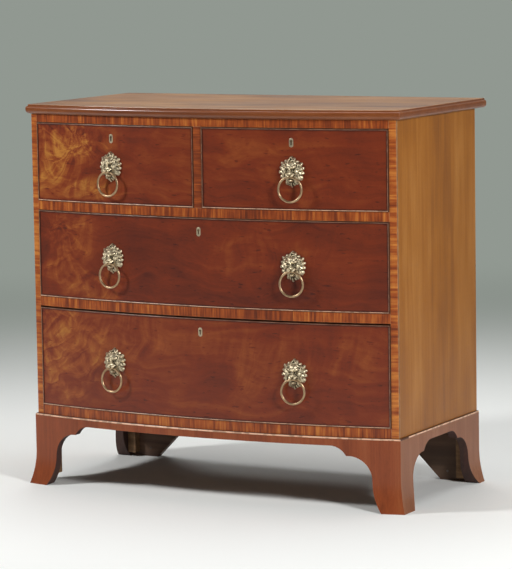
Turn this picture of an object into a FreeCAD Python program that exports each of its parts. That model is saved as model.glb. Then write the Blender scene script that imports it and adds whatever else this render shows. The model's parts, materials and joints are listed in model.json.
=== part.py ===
"""Bow front chest of drawers: two short drawers over two long ones, on splayed bracket feet.

Millimetres. +Z is up and the front faces -Y. While the pieces are made, y = 0 is the chord
between the two front corners of the carcase. At the end everything slides along Y, so that
the origin is the middle of the footprint, on the floor.
"""
import FreeCAD, Part
import math
import os
from FreeCAD import Placement, Rotation, Vector

# ---- driving dimensions ------------------------------------------------------------------
CARCASE_WIDTH = 900.0        # outside of one side board to the outside of the other
SIDE_DEPTH = 408.0           # front corner to back of the carcase
BOW = 50.0                   # how far the middle of the front stands before its corners
TOTAL_HEIGHT = 857.0

TOP_THICKNESS = 21.0
TOP_OVER_SIDE = 12.0         # the top stands over the carcase by this much at each side
TOP_OVER_FRONT = 9.0
TOP_OVER_BACK = 36.0         # room for a skirting board behind the chest
TOP_FILLET_DEPTH = 3.5       # the small step along the upper edge of the top
TOP_FILLET_WIDTH = 4.5
TOP_NOSE_UPPER = 5.5         # rounding of the edge under that step
TOP_NOSE_LOWER = 8.5

BOARD = 16.0                 # side boards, and so the width of the stiles
FACING = 6.0                 # crossbanded strip on the front edge of each side board
HOUSING = 6.0                # how far rails and boards are let into the side boards
RAIL_END_DEPTH = 25.0        # depth, along Y, of the let-in ends of the rails
RAIL_BACK = 40.0             # y of the straight back edge of the drawer rails
TOP_RAIL_BACK = 30.0
DUSTBOARD = 9.0
BOTTOM_BOARD = 12.0
BACK_BOARD = 10.0
BACK_REBATE = 8.0
BACK_BOARD_COUNT = 3
BACK_BOARD_GAP = 0.6
DIVIDER_WIDTH = 19.4         # upright between the two short drawers
DIVIDER_DEPTH = 38.0
PARTITION = 16.0

CARCASE_BOTTOM = 156.0       # the carcase stands on the plinth here
BOTTOM_RAIL_TOP = 181.0
LOWER_RAIL = (405.5, 427.0)
UPPER_RAIL = (622.0, 642.5)
TOP_RAIL_BOTTOM = 818.0

PLINTH_OUT = 5.0             # the plinth stands this far before the carcase
PLINTH_THICKNESS = 20.0
PLINTH_SWEEP = 30.0          # degrees about the middle of the bow, more than the front needs
BEAD_HEIGHT = 4.0
BEAD_ROUNDING = 2.5
BEAD_FLATS = 3
FLARE = 13.0                 # how far a foot splays out at the floor
FLARE_START = 75.0           # height at which the splay begins
FRONT_APRON = 141.0          # underside of the apron between the front feet
SIDE_APRON = 137.0
LEG_WIDTH = 61.0             # width of a foot at its narrowest
KNEE_RADIUS = 52.0
CUSP_FLAT = 5.0
STEP_RUN = 36.0              # the small arc between the cusp and the apron
STEP_RISE = 21.0
TOE_FRONT = 37.0             # from the corner of the plinth to the inner edge at the floor
TOE_SIDE = 42.0
TOE_REAR = 28.0
REAR_BRACKET = 18.0
REAR_BRACKET_REACH = 367.0   # inner end of the rear bracket at the floor
FOOT_BLOCK = 20.0
FOOT_BLOCK_BOTTOM = 20.0

FRONT_THICKNESS = 22.0       # drawer fronts
COCKBEAD = 3.0
COCKBEAD_PROUD = 2.0
COCKBEAD_DEPTH = 10.0
DRAWER_SIDE = 10.0
DRAWER_BACK = 8.0
DRAWER_BOTTOM = 6.0
BOTTOM_LIFT = 8.0            # drawer bottom above the lower edge of its sides
GROOVE = 4.0
FRONT_GROOVE = 5.0
LAP_TAIL = 10.0              # how far the dovetails run into a drawer front
TAIL_SPLAY = 2.5
TAIL_PITCH = 42.0            # the pitch that a row of dovetails comes closest to
TAIL_SHARE = 0.36            # half the width of a tail at its root, as a share of the pitch
TAIL_OVERLAP = 3.0           # how far a tail's blank runs past the curved faces that trim it
BACK_DROP = 10.0             # drawer back lower than the sides
DRAWER_END = 390.0           # y of the back of the drawers
SIDE_GAP = 0.8
FLOOR_GAP = 0.5
STOP_HEIGHT = 5.0
STOP_SIZE = (30.0, 10.0)
STOP_GAP = 0.4

LOCK = (60.0, 10.5, 42.0)    # width, thickness and height of a lock case
BOLT = (23.2, 4.4, 20.0)
BOLT_CLEARANCE = 0.4
BOLT_Y = 14.3                # front face of the bolt behind the drawer front's face
BOLT_DROP = 0.3
MORTISE = (32.0, 10.0, 10.0) # pocket for the bolt in the rail above
MORTISE_Y = 11.5
KEY_DROP = 30.0              # keyhole below the top of the drawer front
KEYHOLE_RADIUS = 2.2
KEYHOLE_SLOT = (2.2, 8.0)
ESCUTCHEON = (11.5, 23.0, 2.0)
ESCUTCHEON_PROUD = 0.3

HANDLE_X = 223.0             # handles left and right of the middle
RING_RADIUS = 26.4           # to the middle of the wire
RING_WIRE = 2.5
RING_OUT = 14.0              # hinge line of a ring before the drawer front
RING_DROP = 11.0             # hinge line below the middle of the mask
RING_CLEARANCE = 0.5
POST_RADIUS = 2.5
POST_LENGTH = 28.0
POST_CLEARANCE = 0.1
NUT = (4.5, 4.0)             # corner radius and height
NUT_GAP = 0.05

# name, left, right, bottom and top of the opening, gap over the drawer, height of the masks
HALF_INSIDE = CARCASE_WIDTH / 2 - BOARD
HALF_DIVIDER = DIVIDER_WIDTH / 2
DRAWERS = [
    ("top_left", -HALF_INSIDE, -HALF_DIVIDER, UPPER_RAIL[1], TOP_RAIL_BOTTOM, 1.0, 725.5),
    ("top_right", HALF_DIVIDER, HALF_INSIDE, UPPER_RAIL[1], TOP_RAIL_BOTTOM, 1.0, 725.5),
    ("middle", -HALF_INSIDE, HALF_INSIDE, LOWER_RAIL[1], UPPER_RAIL[0], 1.0, 523.5),
    ("bottom", -HALF_INSIDE, HALF_INSIDE, BOTTOM_RAIL_TOP, LOWER_RAIL[0], 3.0, 292.0),
]

# ---- worked out from them ----------------------------------------------------------------
HALF = CARCASE_WIDTH / 2
BOW_RADIUS = (HALF ** 2 + BOW ** 2) / (2 * BOW)
BOW_CENTRE_Y = BOW_RADIUS - BOW
TOP_BOTTOM = TOTAL_HEIGHT - TOP_THICKNESS
FAR = 200.0                  # how far cutting blocks reach past what they cut
WHOLE = 2 * CARCASE_WIDTH    # larger than the whole chest

pieces = {}


# ---- helpers -----------------------------------------------------------------------------
def box(x0, x1, y0, y1, z0, z1):
    """A block between two corners."""
    return Part.makeBox(x1 - x0, y1 - y0, z1 - z0, Vector(x0, y0, z0))


def bow_y(x, offset=0.0):
    """y of the bowed front at x, or of a surface that stands offset before it."""
    return BOW_CENTRE_Y - math.sqrt((BOW_RADIUS + offset) ** 2 - x * x)


def bow_cylinder(offset):
    """Everything behind the bowed surface that stands offset before the carcase front."""
    return Part.makeCylinder(BOW_RADIUS + offset, 2 * TOTAL_HEIGHT,
                             Vector(0, BOW_CENTRE_Y, -TOTAL_HEIGHT / 2))


def bow_slab(x0, x1, z0, z1, outer, inner):
    """A board that follows the bow, between two offsets from the carcase front."""
    blank = box(x0, x1, -FAR, FAR, z0, z1)
    return blank.common(bow_cylinder(outer)).cut(bow_cylinder(inner))


def bow_front_block(x0, x1, y_back, z0, z1, offset=0.0):
    """A block with a bowed front and a straight back."""
    return box(x0, x1, -FAR, y_back, z0, z1).common(bow_cylinder(offset))


def prism(points, direction):
    """A closed outline of 3-D points, pushed along a direction."""
    outline = Part.makePolygon([Vector(*p) for p in points + points[:1]])
    return Part.Face(outline).extrude(Vector(*direction))


def mirrored(shape):
    """The same piece on the other side of the chest."""
    return shape.mirror(Vector(0, 0, 0), Vector(1, 0, 0))


def bow_place(x, z):
    """Sets a fitting, made facing -Y with its back at y = 0, on the bowed front at x, z."""
    turn = math.degrees(math.asin(x / BOW_RADIUS))
    return Placement(Vector(x, bow_y(x), z), Rotation(Vector(0, 0, 1), turn))


def placed(shape, placement):
    moved = shape.copy()
    moved.Placement = placement.multiply(moved.Placement)
    return moved


def group(shapes):
    return Part.makeCompound(shapes)


def single(shape):
    """The one solid of a boolean's result."""
    solids = shape.Solids
    assert len(solids) == 1, "expected one solid, found %d" % len(solids)
    return solids[0]


# ---- the carcase -------------------------------------------------------------------------
def make_top():
    """Top board: bowed front, and on three edges a small step over a rounded nose."""
    half = HALF + TOP_OVER_SIDE
    back = SIDE_DEPTH + TOP_OVER_BACK
    nose_top = TOTAL_HEIGHT - TOP_FILLET_DEPTH
    slab = bow_front_block(-half, half, back, TOP_BOTTOM, nose_top, TOP_OVER_FRONT)

    def worked_edges(height):
        found = []
        for edge in slab.Edges:
            centre = edge.BoundBox
            level = abs(centre.ZMin - height) < 0.01 and abs(centre.ZMax - height) < 0.01
            if level and centre.YMin < back - 1.0:
                found.append(edge)
        return found

    slab = slab.makeFillet(TOP_NOSE_UPPER, worked_edges(nose_top))
    slab = slab.makeFillet(TOP_NOSE_LOWER, worked_edges(TOP_BOTTOM))
    inset = TOP_FILLET_WIDTH
    upper = bow_front_block(-half + inset, half - inset, back, nose_top - 1.0, TOTAL_HEIGHT,
                            TOP_OVER_FRONT - inset)
    return single(slab.fuse(upper).removeSplitter())


def make_rail(z0, z1, y_back):
    """A drawer rail with a bowed front, its ends let into the side boards behind the stiles."""
    front = bow_front_block(-HALF_INSIDE, HALF_INSIDE, y_back, z0, z1)
    reach = HALF_INSIDE + HOUSING
    ends = box(-reach, reach, y_back - RAIL_END_DEPTH, y_back, z0, z1)
    return single(front.fuse(ends).removeSplitter())


def bolt_mortise(x, opening_top):
    width, depth, height = MORTISE
    pocket = box(-width / 2, width / 2, MORTISE_Y, MORTISE_Y + depth, 0, height)
    return placed(pocket, bow_place(x, opening_top))


def make_carcase():
    top_rail = make_rail(TOP_RAIL_BOTTOM, TOP_BOTTOM, TOP_RAIL_BACK)
    upper_rail = make_rail(UPPER_RAIL[0], UPPER_RAIL[1], RAIL_BACK)
    lower_rail = make_rail(LOWER_RAIL[0], LOWER_RAIL[1], RAIL_BACK)
    bottom_rail = make_rail(CARCASE_BOTTOM, BOTTOM_RAIL_TOP, RAIL_BACK)

    reach = HALF_INSIDE + HOUSING
    inside_back = SIDE_DEPTH - BACK_BOARD
    boards = []
    for level in (UPPER_RAIL[1], LOWER_RAIL[1]):
        boards.append(box(-reach, reach, RAIL_BACK, inside_back, level - DUSTBOARD, level))
    bottom_board = box(-reach, reach, RAIL_BACK, inside_back,
                       BOTTOM_RAIL_TOP - BOTTOM_BOARD, BOTTOM_RAIL_TOP)

    side = box(HALF_INSIDE, HALF, -FAR, SIDE_DEPTH, CARCASE_BOTTOM, TOP_BOTTOM)
    side = side.common(bow_cylinder(-FACING))
    side = side.cut(box(HALF_INSIDE, HALF_INSIDE + BACK_REBATE, inside_back, SIDE_DEPTH,
                        CARCASE_BOTTOM, TOP_BOTTOM))
    for housed in [top_rail, upper_rail, lower_rail, bottom_rail, bottom_board] + boards:
        side = side.cut(housed)
    side = single(side)
    stile = bow_slab(HALF_INSIDE, HALF, CARCASE_BOTTOM, TOP_BOTTOM, 0.0, -FACING)

    for name, x0, x1, z0, z1, gap, mask_z in DRAWERS:
        pocket = bolt_mortise((x0 + x1) / 2, z1)
        if name.startswith("top"):
            top_rail = top_rail.cut(pocket)
        elif name == "middle":
            upper_rail = upper_rail.cut(pocket)
        else:
            lower_rail = lower_rail.cut(pocket)

    divider = bow_slab(-HALF_DIVIDER, HALF_DIVIDER, UPPER_RAIL[1], TOP_RAIL_BOTTOM,
                       0.0, -DIVIDER_DEPTH)
    partition = box(-PARTITION / 2, PARTITION / 2, -FAR, inside_back,
                    UPPER_RAIL[1], TOP_BOTTOM).common(bow_cylinder(-DIVIDER_DEPTH))
    partition = partition.cut(box(-FAR, FAR, -FAR, TOP_RAIL_BACK, TOP_RAIL_BOTTOM, TOP_BOTTOM))

    back_boards = []
    pitch = (TOP_BOTTOM - CARCASE_BOTTOM + BACK_BOARD_GAP) / BACK_BOARD_COUNT
    for row in range(BACK_BOARD_COUNT):
        low = CARCASE_BOTTOM + row * pitch
        edge = HALF_INSIDE + BACK_REBATE
        back_boards.append(box(-edge, edge, inside_back, SIDE_DEPTH,
                               low, low + pitch - BACK_BOARD_GAP))

    pieces["top_board"] = make_top()
    pieces["carcase_sides"] = group([mirrored(side), side])
    pieces["stiles"] = group([mirrored(stile), stile])
    pieces["top_rail"] = single(top_rail)
    pieces["upper_drawer_rail"] = single(upper_rail)
    pieces["lower_drawer_rail"] = single(lower_rail)
    pieces["bottom_rail"] = bottom_rail
    pieces["dustboards"] = group(boards)
    pieces["bottom_board"] = bottom_board
    pieces["drawer_divider"] = divider
    pieces["partition_board"] = single(partition)
    pieces["back_boards"] = group(back_boards)


def make_drawer_stops():
    """Small blocks on the rails, which a drawer front comes to rest against."""
    stops = []
    long_x = 0.65 * HALF_INSIDE
    short_x = 0.28 * HALF_INSIDE
    for level, places in ((UPPER_RAIL[1], (short_x, 2.6 * short_x)),
                          (LOWER_RAIL[1], (long_x,)),
                          (BOTTOM_RAIL_TOP, (long_x,))):
        for x in places:
            block = box(-STOP_SIZE[0] / 2, STOP_SIZE[0] / 2, FRONT_THICKNESS + STOP_GAP,
                        FRONT_THICKNESS + STOP_GAP + STOP_SIZE[1], 0, STOP_HEIGHT)
            stops.append(placed(block, bow_place(x, level)))
            stops.append(placed(block, bow_place(-x, level)))
    pieces["drawer_stops"] = group(stops)


# ---- plinth and feet ---------------------------------------------------------------------
def arch_cutter(low, high, toe_low, toe_high, apron):
    """Face in X-Z: the space under the apron between two feet, whose corners are low and high."""
    cusp_z = apron - STEP_RISE
    knee_z = cusp_z - KNEE_RADIUS
    step_radius = (STEP_RUN ** 2 + STEP_RISE ** 2) / (2 * STEP_RISE)
    diagonal = math.sqrt(0.5)

    def half_outline(corner, way, toe):
        """From the floor up to the apron, for the foot whose corner is given."""
        def point(run, z):
            return Vector(corner + way * run, 0, z)

        leg_radius = (knee_z ** 2 + (LEG_WIDTH - toe) ** 2) / (2 * (LEG_WIDTH - toe))
        leg_angle = math.asin(knee_z / leg_radius) / 2
        leg_middle = point(LEG_WIDTH - leg_radius * (1 - math.cos(leg_angle)),
                           knee_z - leg_radius * math.sin(leg_angle))
        knee_centre = LEG_WIDTH + KNEE_RADIUS
        knee_middle = point(knee_centre - KNEE_RADIUS * diagonal,
                            knee_z + KNEE_RADIUS * diagonal)
        cusp = knee_centre + CUSP_FLAT
        step_end = cusp + STEP_RUN
        step_angle = math.asin(STEP_RUN / step_radius) / 2
        step_middle = point(step_end - step_radius * math.sin(step_angle),
                            apron - step_radius * (1 - math.cos(step_angle)))
        return [
            Part.LineSegment(point(toe, -FAR), point(toe, 0)).toShape(),
            Part.Arc(point(toe, 0), leg_middle, point(LEG_WIDTH, knee_z)).toShape(),
            Part.Arc(point(LEG_WIDTH, knee_z), knee_middle, point(knee_centre, cusp_z)).toShape(),
            Part.LineSegment(point(knee_centre, cusp_z), point(cusp, cusp_z)).toShape(),
            Part.Arc(point(cusp, cusp_z), step_middle, point(step_end, apron)).toShape(),
        ], step_end

    up, end_low = half_outline(low, 1, toe_low)
    down, end_high = half_outline(high, -1, toe_high)
    apron_line = Part.LineSegment(Vector(low + end_low, 0, apron),
                                  Vector(high - end_high, 0, apron)).toShape()
    floor_line = Part.LineSegment(Vector(high - toe_high, 0, -FAR),
                                  Vector(low + toe_low, 0, -FAR)).toShape()
    edges = Part.__sortEdges__(up + [apron_line] + down + [floor_line])
    return Part.Face(Part.Wire(edges))


def flared_profile(inner, outer):
    """Cross-section of the plinth in X-Z: straight inside, splayed outside near the floor."""
    radius = (FLARE_START ** 2 + FLARE ** 2) / (2 * FLARE)
    angle = math.asin(FLARE_START / radius) / 2
    middle = Vector(outer + radius * (1 - math.cos(angle)), 0,
                    FLARE_START - radius * math.sin(angle))
    corners = [Vector(outer + FLARE, 0, 0), Vector(inner, 0, 0), Vector(inner, 0, CARCASE_BOTTOM),
               Vector(outer, 0, CARCASE_BOTTOM), Vector(outer, 0, FLARE_START)]
    edges = [Part.LineSegment(a, b).toShape() for a, b in zip(corners, corners[1:])]
    edges.append(Part.Arc(corners[-1], middle, corners[0]).toShape())
    return Part.Face(Part.Wire(edges))


def bead_profile(inner, outer):
    """Cross-section of the bead in X-Z, its outer edge rounded at the top by small flats."""
    top = CARCASE_BOTTOM + BEAD_HEIGHT
    corners = [(inner, top), (inner, CARCASE_BOTTOM), (outer, CARCASE_BOTTOM)]
    for number in range(BEAD_FLATS + 1):
        angle = math.radians(90.0 * number / BEAD_FLATS)
        corners.append((outer - BEAD_ROUNDING * (1 - math.cos(angle)),
                        top - BEAD_ROUNDING * (1 - math.sin(angle))))
    outline = [Vector(x, 0, z) for x, z in corners + corners[:1]]
    return Part.Face(Part.makePolygon(outline))


def along_bow(profile):
    """A cross-section in X-Z, its x measured from the middle of the bow, swept along the front."""
    swept = profile.revolve(Vector(0, 0, 0), Vector(0, 0, 1), PLINTH_SWEEP)
    swept.Placement = Placement(Vector(0, BOW_CENTRE_Y, 0),
                                Rotation(Vector(0, 0, 1), -90 - PLINTH_SWEEP / 2))
    return swept


def along_side(profile):
    """A cross-section in X-Z pushed along the right side, past both ends."""
    pushed = profile.extrude(Vector(0, SIDE_DEPTH + FAR, 0))
    pushed.translate(Vector(0, -FAR, 0))
    return pushed


def mitre_block(near_out, far_out, inside_of_front):
    """A block on one side of a mitre at the right front corner.

    The mitre runs through the corners of two outlines of the chest, near_out and far_out outside
    the carcase.
    """
    corner, foot = [Vector(HALF + out, bow_y(HALF + out, out), -FAR) for out in (near_out, far_out)]
    along = (foot - corner).normalize()
    across = Vector(-along.y, along.x, 0)
    start = corner - along * WHOLE
    end = corner + along * WHOLE
    side = across * (-WHOLE if inside_of_front else WHOLE)
    face = Part.Face(Part.makePolygon([start, end, end + side, start + side, start]))
    return face.extrude(Vector(0, 0, WHOLE))


def make_plinth():
    outer = HALF + PLINTH_OUT
    inner = outer - PLINTH_THICKNESS
    bow_face = BOW_RADIUS + PLINTH_OUT
    front = along_bow(flared_profile(bow_face - PLINTH_THICKNESS, bow_face))
    arch = arch_cutter(-outer, outer, TOE_FRONT, TOE_FRONT, FRONT_APRON)
    arch.translate(Vector(0, -FAR, 0))
    front = front.cut(arch.extrude(Vector(0, 2 * FAR, 0)))
    mitre = (PLINTH_OUT, PLINTH_OUT + FLARE)
    between = mitre_block(*mitre, inside_of_front=True)
    front = front.common(between).common(mirrored(between))

    side = along_side(flared_profile(inner, outer))
    side = side.common(mitre_block(*mitre, inside_of_front=False))
    arch = arch_cutter(bow_y(outer, PLINTH_OUT), SIDE_DEPTH, TOE_SIDE, TOE_REAR, SIDE_APRON)
    arch.rotate(Vector(0, 0, 0), Vector(0, 0, 1), 90)
    side = single(side.cut(arch.extrude(Vector(2 * outer, 0, 0))))

    mitre = (0, PLINTH_OUT)
    between = mitre_block(*mitre, inside_of_front=True)
    bead_front = along_bow(bead_profile(BOW_RADIUS, bow_face)).common(between)
    bead_front = bead_front.common(mirrored(between))
    bead_side = along_side(bead_profile(HALF, outer))
    bead_side = bead_side.common(mitre_block(*mitre, inside_of_front=False))

    bracket = prism([(inner, 0, 0), (inner, 0, CARCASE_BOTTOM),
                     (REAR_BRACKET_REACH - CARCASE_BOTTOM, 0, CARCASE_BOTTOM),
                     (REAR_BRACKET_REACH, 0, 0)], (0, REAR_BRACKET, 0))
    bracket.translate(Vector(0, SIDE_DEPTH - REAR_BRACKET, 0))

    block_top = CARCASE_BOTTOM - 2.0
    front_block = box(inner - FOOT_BLOCK, inner, -FAR, RAIL_BACK, FOOT_BLOCK_BOTTOM, block_top)
    front_block = front_block.common(bow_cylinder(PLINTH_OUT - PLINTH_THICKNESS))
    rear = SIDE_DEPTH - REAR_BRACKET
    rear_block = box(inner - FOOT_BLOCK, inner, rear - FOOT_BLOCK, rear,
                     FOOT_BLOCK_BOTTOM / 2, block_top)

    pieces["plinth_front"] = single(front)
    pieces["plinth_sides"] = group([mirrored(side), side])
    pieces["plinth_bead"] = group([single(bead_front), single(bead_side),
                                   mirrored(single(bead_side))])
    pieces["rear_brackets"] = group([bracket, mirrored(bracket)])
    pieces["foot_blocks"] = group([front_block, mirrored(front_block),
                                   rear_block, mirrored(rear_block)])


# ---- the lion mask and its ring ----------------------------------------------------------
def ball(x, out, z, radius):
    return Part.makeSphere(radius, Vector(x, -out, z), Vector(0, -1, 0))


def horn(start, end, r0, r1):
    """A tapered lock of hair, from one point (x, out, z) to another."""
    a = Vector(start[0], -start[1], start[2])
    b = Vector(end[0], -end[1], end[2])
    return Part.makeCone(r0, r1, (b - a).Length, a, b - a)


def make_mask():
    """A cast lion's head, 0 at its middle, facing -Y with its flat back at y = 0."""
    dome_base, dome_height = 24.0, 9.0
    dome_radius = (dome_base ** 2 + dome_height ** 2) / (2 * dome_height)
    before_back = box(-FAR, FAR, -FAR, 0, -FAR, FAR)
    mask = ball(0, dome_height - dome_radius, 1.0, dome_radius).common(before_back)
    parts = []
    mane_locks, root_radius, reach, middle_z = 15, 13.0, 30.5, 2.0
    for number in range(mane_locks):
        angle = math.radians(90 + 360.0 * number / mane_locks)
        across, up = math.cos(angle), math.sin(angle)
        if up < -0.8:
            continue                      # the beard hangs here
        tip = reach - 2.5 * abs(up)
        parts.append(horn((root_radius * across, 5.5, middle_z + root_radius * up),
                          (tip * across, 2.5, middle_z + tip * up), 5.5, 1.2))

    # each lobe is x, height over the back, z and radius; these come in pairs, left and right
    brow, cheek = (7.5, 10.5, 9.5, 5.2), (14.0, 7.0, 0.0, 7.0)
    whisker_pad, beard_curl = (5.2, 16.0, -5.0, 5.4), (10.5, 2.5, -24.0, 4.0)
    for x, out, z, radius in (brow, cheek, whisker_pad, beard_curl):
        parts.append(ball(-x, out, z, radius))
        parts.append(ball(x, out, z, radius))

    crest, muzzle, lower_jaw = (0, 5.0, 26.0, 5.0), (0, 12.5, -3.0, 9.0), (0, 12.5, -20.0, 5.8)
    for lobe in (crest, muzzle, lower_jaw):
        parts.append(ball(*lobe))
    crest_tip = horn((0, 5.0, 26.0), (0, 3.0, 33.5), 4.5, 1.0)
    nose = horn((0, 11.0, 10.0), (0, 19.0, -1.5), 3.0, 3.6)
    chin = horn((0, 0.0, -21.0), (0, 12.5, -20.0), 6.0, 5.5)
    beard = horn((0, 6.0, -21.0), (0, 3.0, -33.5), 5.5, 1.2)
    parts += [crest_tip, nose, chin, beard]
    for part in parts:
        mask = mask.fuse(part)
    mask = mask.common(before_back).cut(ring_passage())
    post = Part.makeCylinder(POST_RADIUS, POST_LENGTH, Vector(0, -1, 0), Vector(0, 1, 0))
    return single(mask.fuse(post))


def ring_passage():
    """The space round the hinge line that the ring sweeps inside the mouth."""
    stations = (0.0, 7.5, 15.0)
    parts = []
    for near, far in zip(stations, stations[1:]):
        radii = []
        for x in (near, far):
            drop = RING_RADIUS - math.sqrt(RING_RADIUS ** 2 - x * x)
            radii.append(RING_WIRE + RING_CLEARANCE + drop)
        for way in (-1, 1):
            parts.append(Part.makeCone(radii[0], radii[1], far - near,
                                       Vector(way * near, -RING_OUT, -RING_DROP),
                                       Vector(way, 0, 0)))
    return parts[0].multiFuse(parts[1:])


def make_ring():
    return Part.makeTorus(RING_RADIUS, RING_WIRE,
                          Vector(0, -RING_OUT, -RING_DROP - RING_RADIUS), Vector(0, 1, 0))


def make_nut():
    radius, height = NUT
    y = FRONT_THICKNESS + NUT_GAP
    corners = []
    for number in range(6):
        angle = math.radians(60 * number)
        corners.append((radius * math.cos(angle), y, radius * math.sin(angle)))
    nut = prism(corners, (0, height, 0))
    bore = Part.makeCylinder(POST_RADIUS, 2 * POST_LENGTH, Vector(0, 0, 0), Vector(0, 1, 0))
    return nut.cut(bore)


# ---- the drawers -------------------------------------------------------------------------
def tails(x0, x1, z0, z1, y_shoulder, y_end):
    """Dovetails in Y-Z, wider at y_end than at y_shoulder, through the thickness x0 to x1."""
    count = max(3, int((z1 - z0) // TAIL_PITCH))
    pitch = (z1 - z0) / count
    narrow = TAIL_SHARE * pitch
    wide = narrow + TAIL_SPLAY
    shapes = []
    for number in range(count):
        middle = z0 + (number + 0.5) * pitch
        shapes.append(prism([(x0, y_shoulder, middle - narrow), (x0, y_end, middle - wide),
                             (x0, y_end, middle + wide), (x0, y_shoulder, middle + narrow)],
                            (x1 - x0, 0, 0)))
    return shapes


def make_drawer_side(x0, x1, z0, z1):
    """A side board with tails into the drawer front and through the drawer back."""
    body = box(x0, x1, -FAR, DRAWER_END - DRAWER_BACK, z0, z1)
    body = body.common(bow_cylinder(-FRONT_THICKNESS))
    shoulder = bow_y((x0 + x1) / 2, -FRONT_THICKNESS)
    front_tails = tails(x0, x1, z0, z1, shoulder + TAIL_OVERLAP,
                        shoulder - LAP_TAIL - TAIL_OVERLAP)
    lap = bow_cylinder(LAP_TAIL - FRONT_THICKNESS)
    back_tails = tails(x0, x1, z0, z1, DRAWER_END - DRAWER_BACK, DRAWER_END)
    return body.multiFuse([t.common(lap) for t in front_tails] + back_tails).removeSplitter()


def keyhole(depth_from, depth_to):
    """A round hole with a slot under it, about the middle of the escutcheon."""
    slot_width, slot_height = KEYHOLE_SLOT
    eye_z = slot_height / 2 - 1.0
    eye = Part.makeCylinder(KEYHOLE_RADIUS, depth_to - depth_from,
                            Vector(0, depth_from, eye_z), Vector(0, 1, 0))
    slot = box(-slot_width / 2, slot_width / 2, depth_from, depth_to, eye_z - slot_height, eye_z)
    return eye.fuse(slot)


def make_escutcheon():
    """An oval brass plate let into the drawer front round the keyhole."""
    width, height, thickness = ESCUTCHEON
    radius = width / 2
    straight = height / 2 - radius
    plate = box(-radius, radius, -ESCUTCHEON_PROUD, thickness - ESCUTCHEON_PROUD,
                -straight, straight)
    for z in (-straight, straight):
        plate = plate.fuse(Part.makeCylinder(radius, thickness, Vector(0, -ESCUTCHEON_PROUD, z),
                                             Vector(0, 1, 0)))
    return plate.removeSplitter()


def make_lock():
    """Lock case, with its top edge at z = 0, and the bolt that rises out of it."""
    width, thickness, height = LOCK
    back = FRONT_THICKNESS + 0.5
    case = box(-width / 2, width / 2, back - thickness, back, -height, 0)
    bolt_width, bolt_thickness, bolt_height = BOLT
    bolt = box(-bolt_width / 2, bolt_width / 2, BOLT_Y, BOLT_Y + bolt_thickness,
               -bolt_height - BOLT_DROP, -BOLT_DROP)
    c = BOLT_CLEARANCE
    channel = box(-bolt_width / 2 - c, bolt_width / 2 + c, BOLT_Y - c,
                  BOLT_Y + bolt_thickness + c, -bolt_height - BOLT_DROP - c, FAR)
    key = keyhole(0, back - 2.0)
    key.translate(Vector(0, 0, -KEY_DROP))
    return case, case.cut(channel).cut(key), bolt


def make_drawer(name, x0, x1, z0, z1, top_gap, mask_z):
    """One drawer with its front, cockbeads, linings, lock and mounts."""
    middle = (x0 + x1) / 2
    left, right = x0 + SIDE_GAP, x1 - SIDE_GAP
    low, high = z0 + FLOOR_GAP, z1 - top_gap

    b = COCKBEAD
    corners = {"outer": [(left, low), (right, low), (right, high), (left, high)],
               "inner": [(left + b, low + b), (right - b, low + b),
                         (right - b, high - b), (left + b, high - b)]}
    beads = []
    for number in range(4):
        after = (number + 1) % 4
        outline = [corners["outer"][number], corners["outer"][after],
                   corners["inner"][after], corners["inner"][number]]
        strip = prism([(x, -FAR, z) for x, z in outline], (0, 2 * FAR, 0))
        beads.append(strip.common(bow_cylinder(COCKBEAD_PROUD))
                     .cut(bow_cylinder(-COCKBEAD_DEPTH)))

    lining_top = high - 2.0
    sides = [make_drawer_side(left, left + DRAWER_SIDE, low, lining_top),
             make_drawer_side(right - DRAWER_SIDE, right, low, lining_top)]
    bottom_low = low + BOTTOM_LIFT
    bottom = bow_front_block(left + DRAWER_SIDE - GROOVE, right - DRAWER_SIDE + GROOVE,
                             DRAWER_END, bottom_low, bottom_low + DRAWER_BOTTOM,
                             FRONT_GROOVE - FRONT_THICKNESS)
    back = box(left, right, DRAWER_END - DRAWER_BACK, DRAWER_END,
               bottom_low + DRAWER_BOTTOM, lining_top - BACK_DROP)
    for side in sides:
        back = back.cut(side)
    sides = [single(side.cut(bottom)) for side in sides]

    lock_place = bow_place(middle, high)
    blank, lock, bolt = make_lock()
    blank, lock, bolt = [placed(shape, lock_place) for shape in (blank, lock, bolt)]
    key_place = bow_place(middle, high - KEY_DROP)
    plate = make_escutcheon()
    escutcheon = placed(plate.cut(keyhole(-FAR, FAR)), key_place)

    front = bow_slab(left, right, low, high, 0.0, -FRONT_THICKNESS)
    front = front.cut(bow_slab(left, right, low, high, 0.0, -COCKBEAD_DEPTH)
                      .cut(box(left + b, right - b, -FAR, FAR, low + b, high - b)))
    for fitting in sides + [bottom, blank, placed(plate, key_place),
                            placed(keyhole(0, FRONT_THICKNESS), key_place)]:
        front = front.cut(fitting)

    handle_xs = [-HANDLE_X, HANDLE_X]
    if name.startswith("top"):
        handle_xs = [math.copysign(HANDLE_X, middle)]
    hole = Part.makeCylinder(POST_RADIUS + POST_CLEARANCE, 2 * FRONT_THICKNESS,
                             Vector(0, 0, 0), Vector(0, 1, 0))
    masks = []
    for number, x in enumerate(handle_xs):
        place = bow_place(x, mask_z)
        front = front.cut(placed(hole, place))
        masks.append(placed(MASK, place))
        masks.append(placed(NUT_SHAPE, place))
        suffix = "" if len(handle_xs) == 1 else ("_left", "_right")[number]
        pieces["ring_%s%s" % (name, suffix)] = placed(RING_SHAPE, place)

    prefix = "drawer_%s_" % name
    pieces[prefix + "front"] = single(front)
    pieces[prefix + "cockbead"] = group(beads)
    pieces[prefix + "sides"] = group(sides)
    pieces[prefix + "back"] = single(back)
    pieces[prefix + "bottom"] = bottom
    pieces[prefix + "lock"] = single(lock)
    pieces[prefix + "lock_bolt"] = bolt
    pieces[prefix + "escutcheon"] = single(escutcheon)
    pieces[prefix + "masks"] = group(masks)


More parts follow.
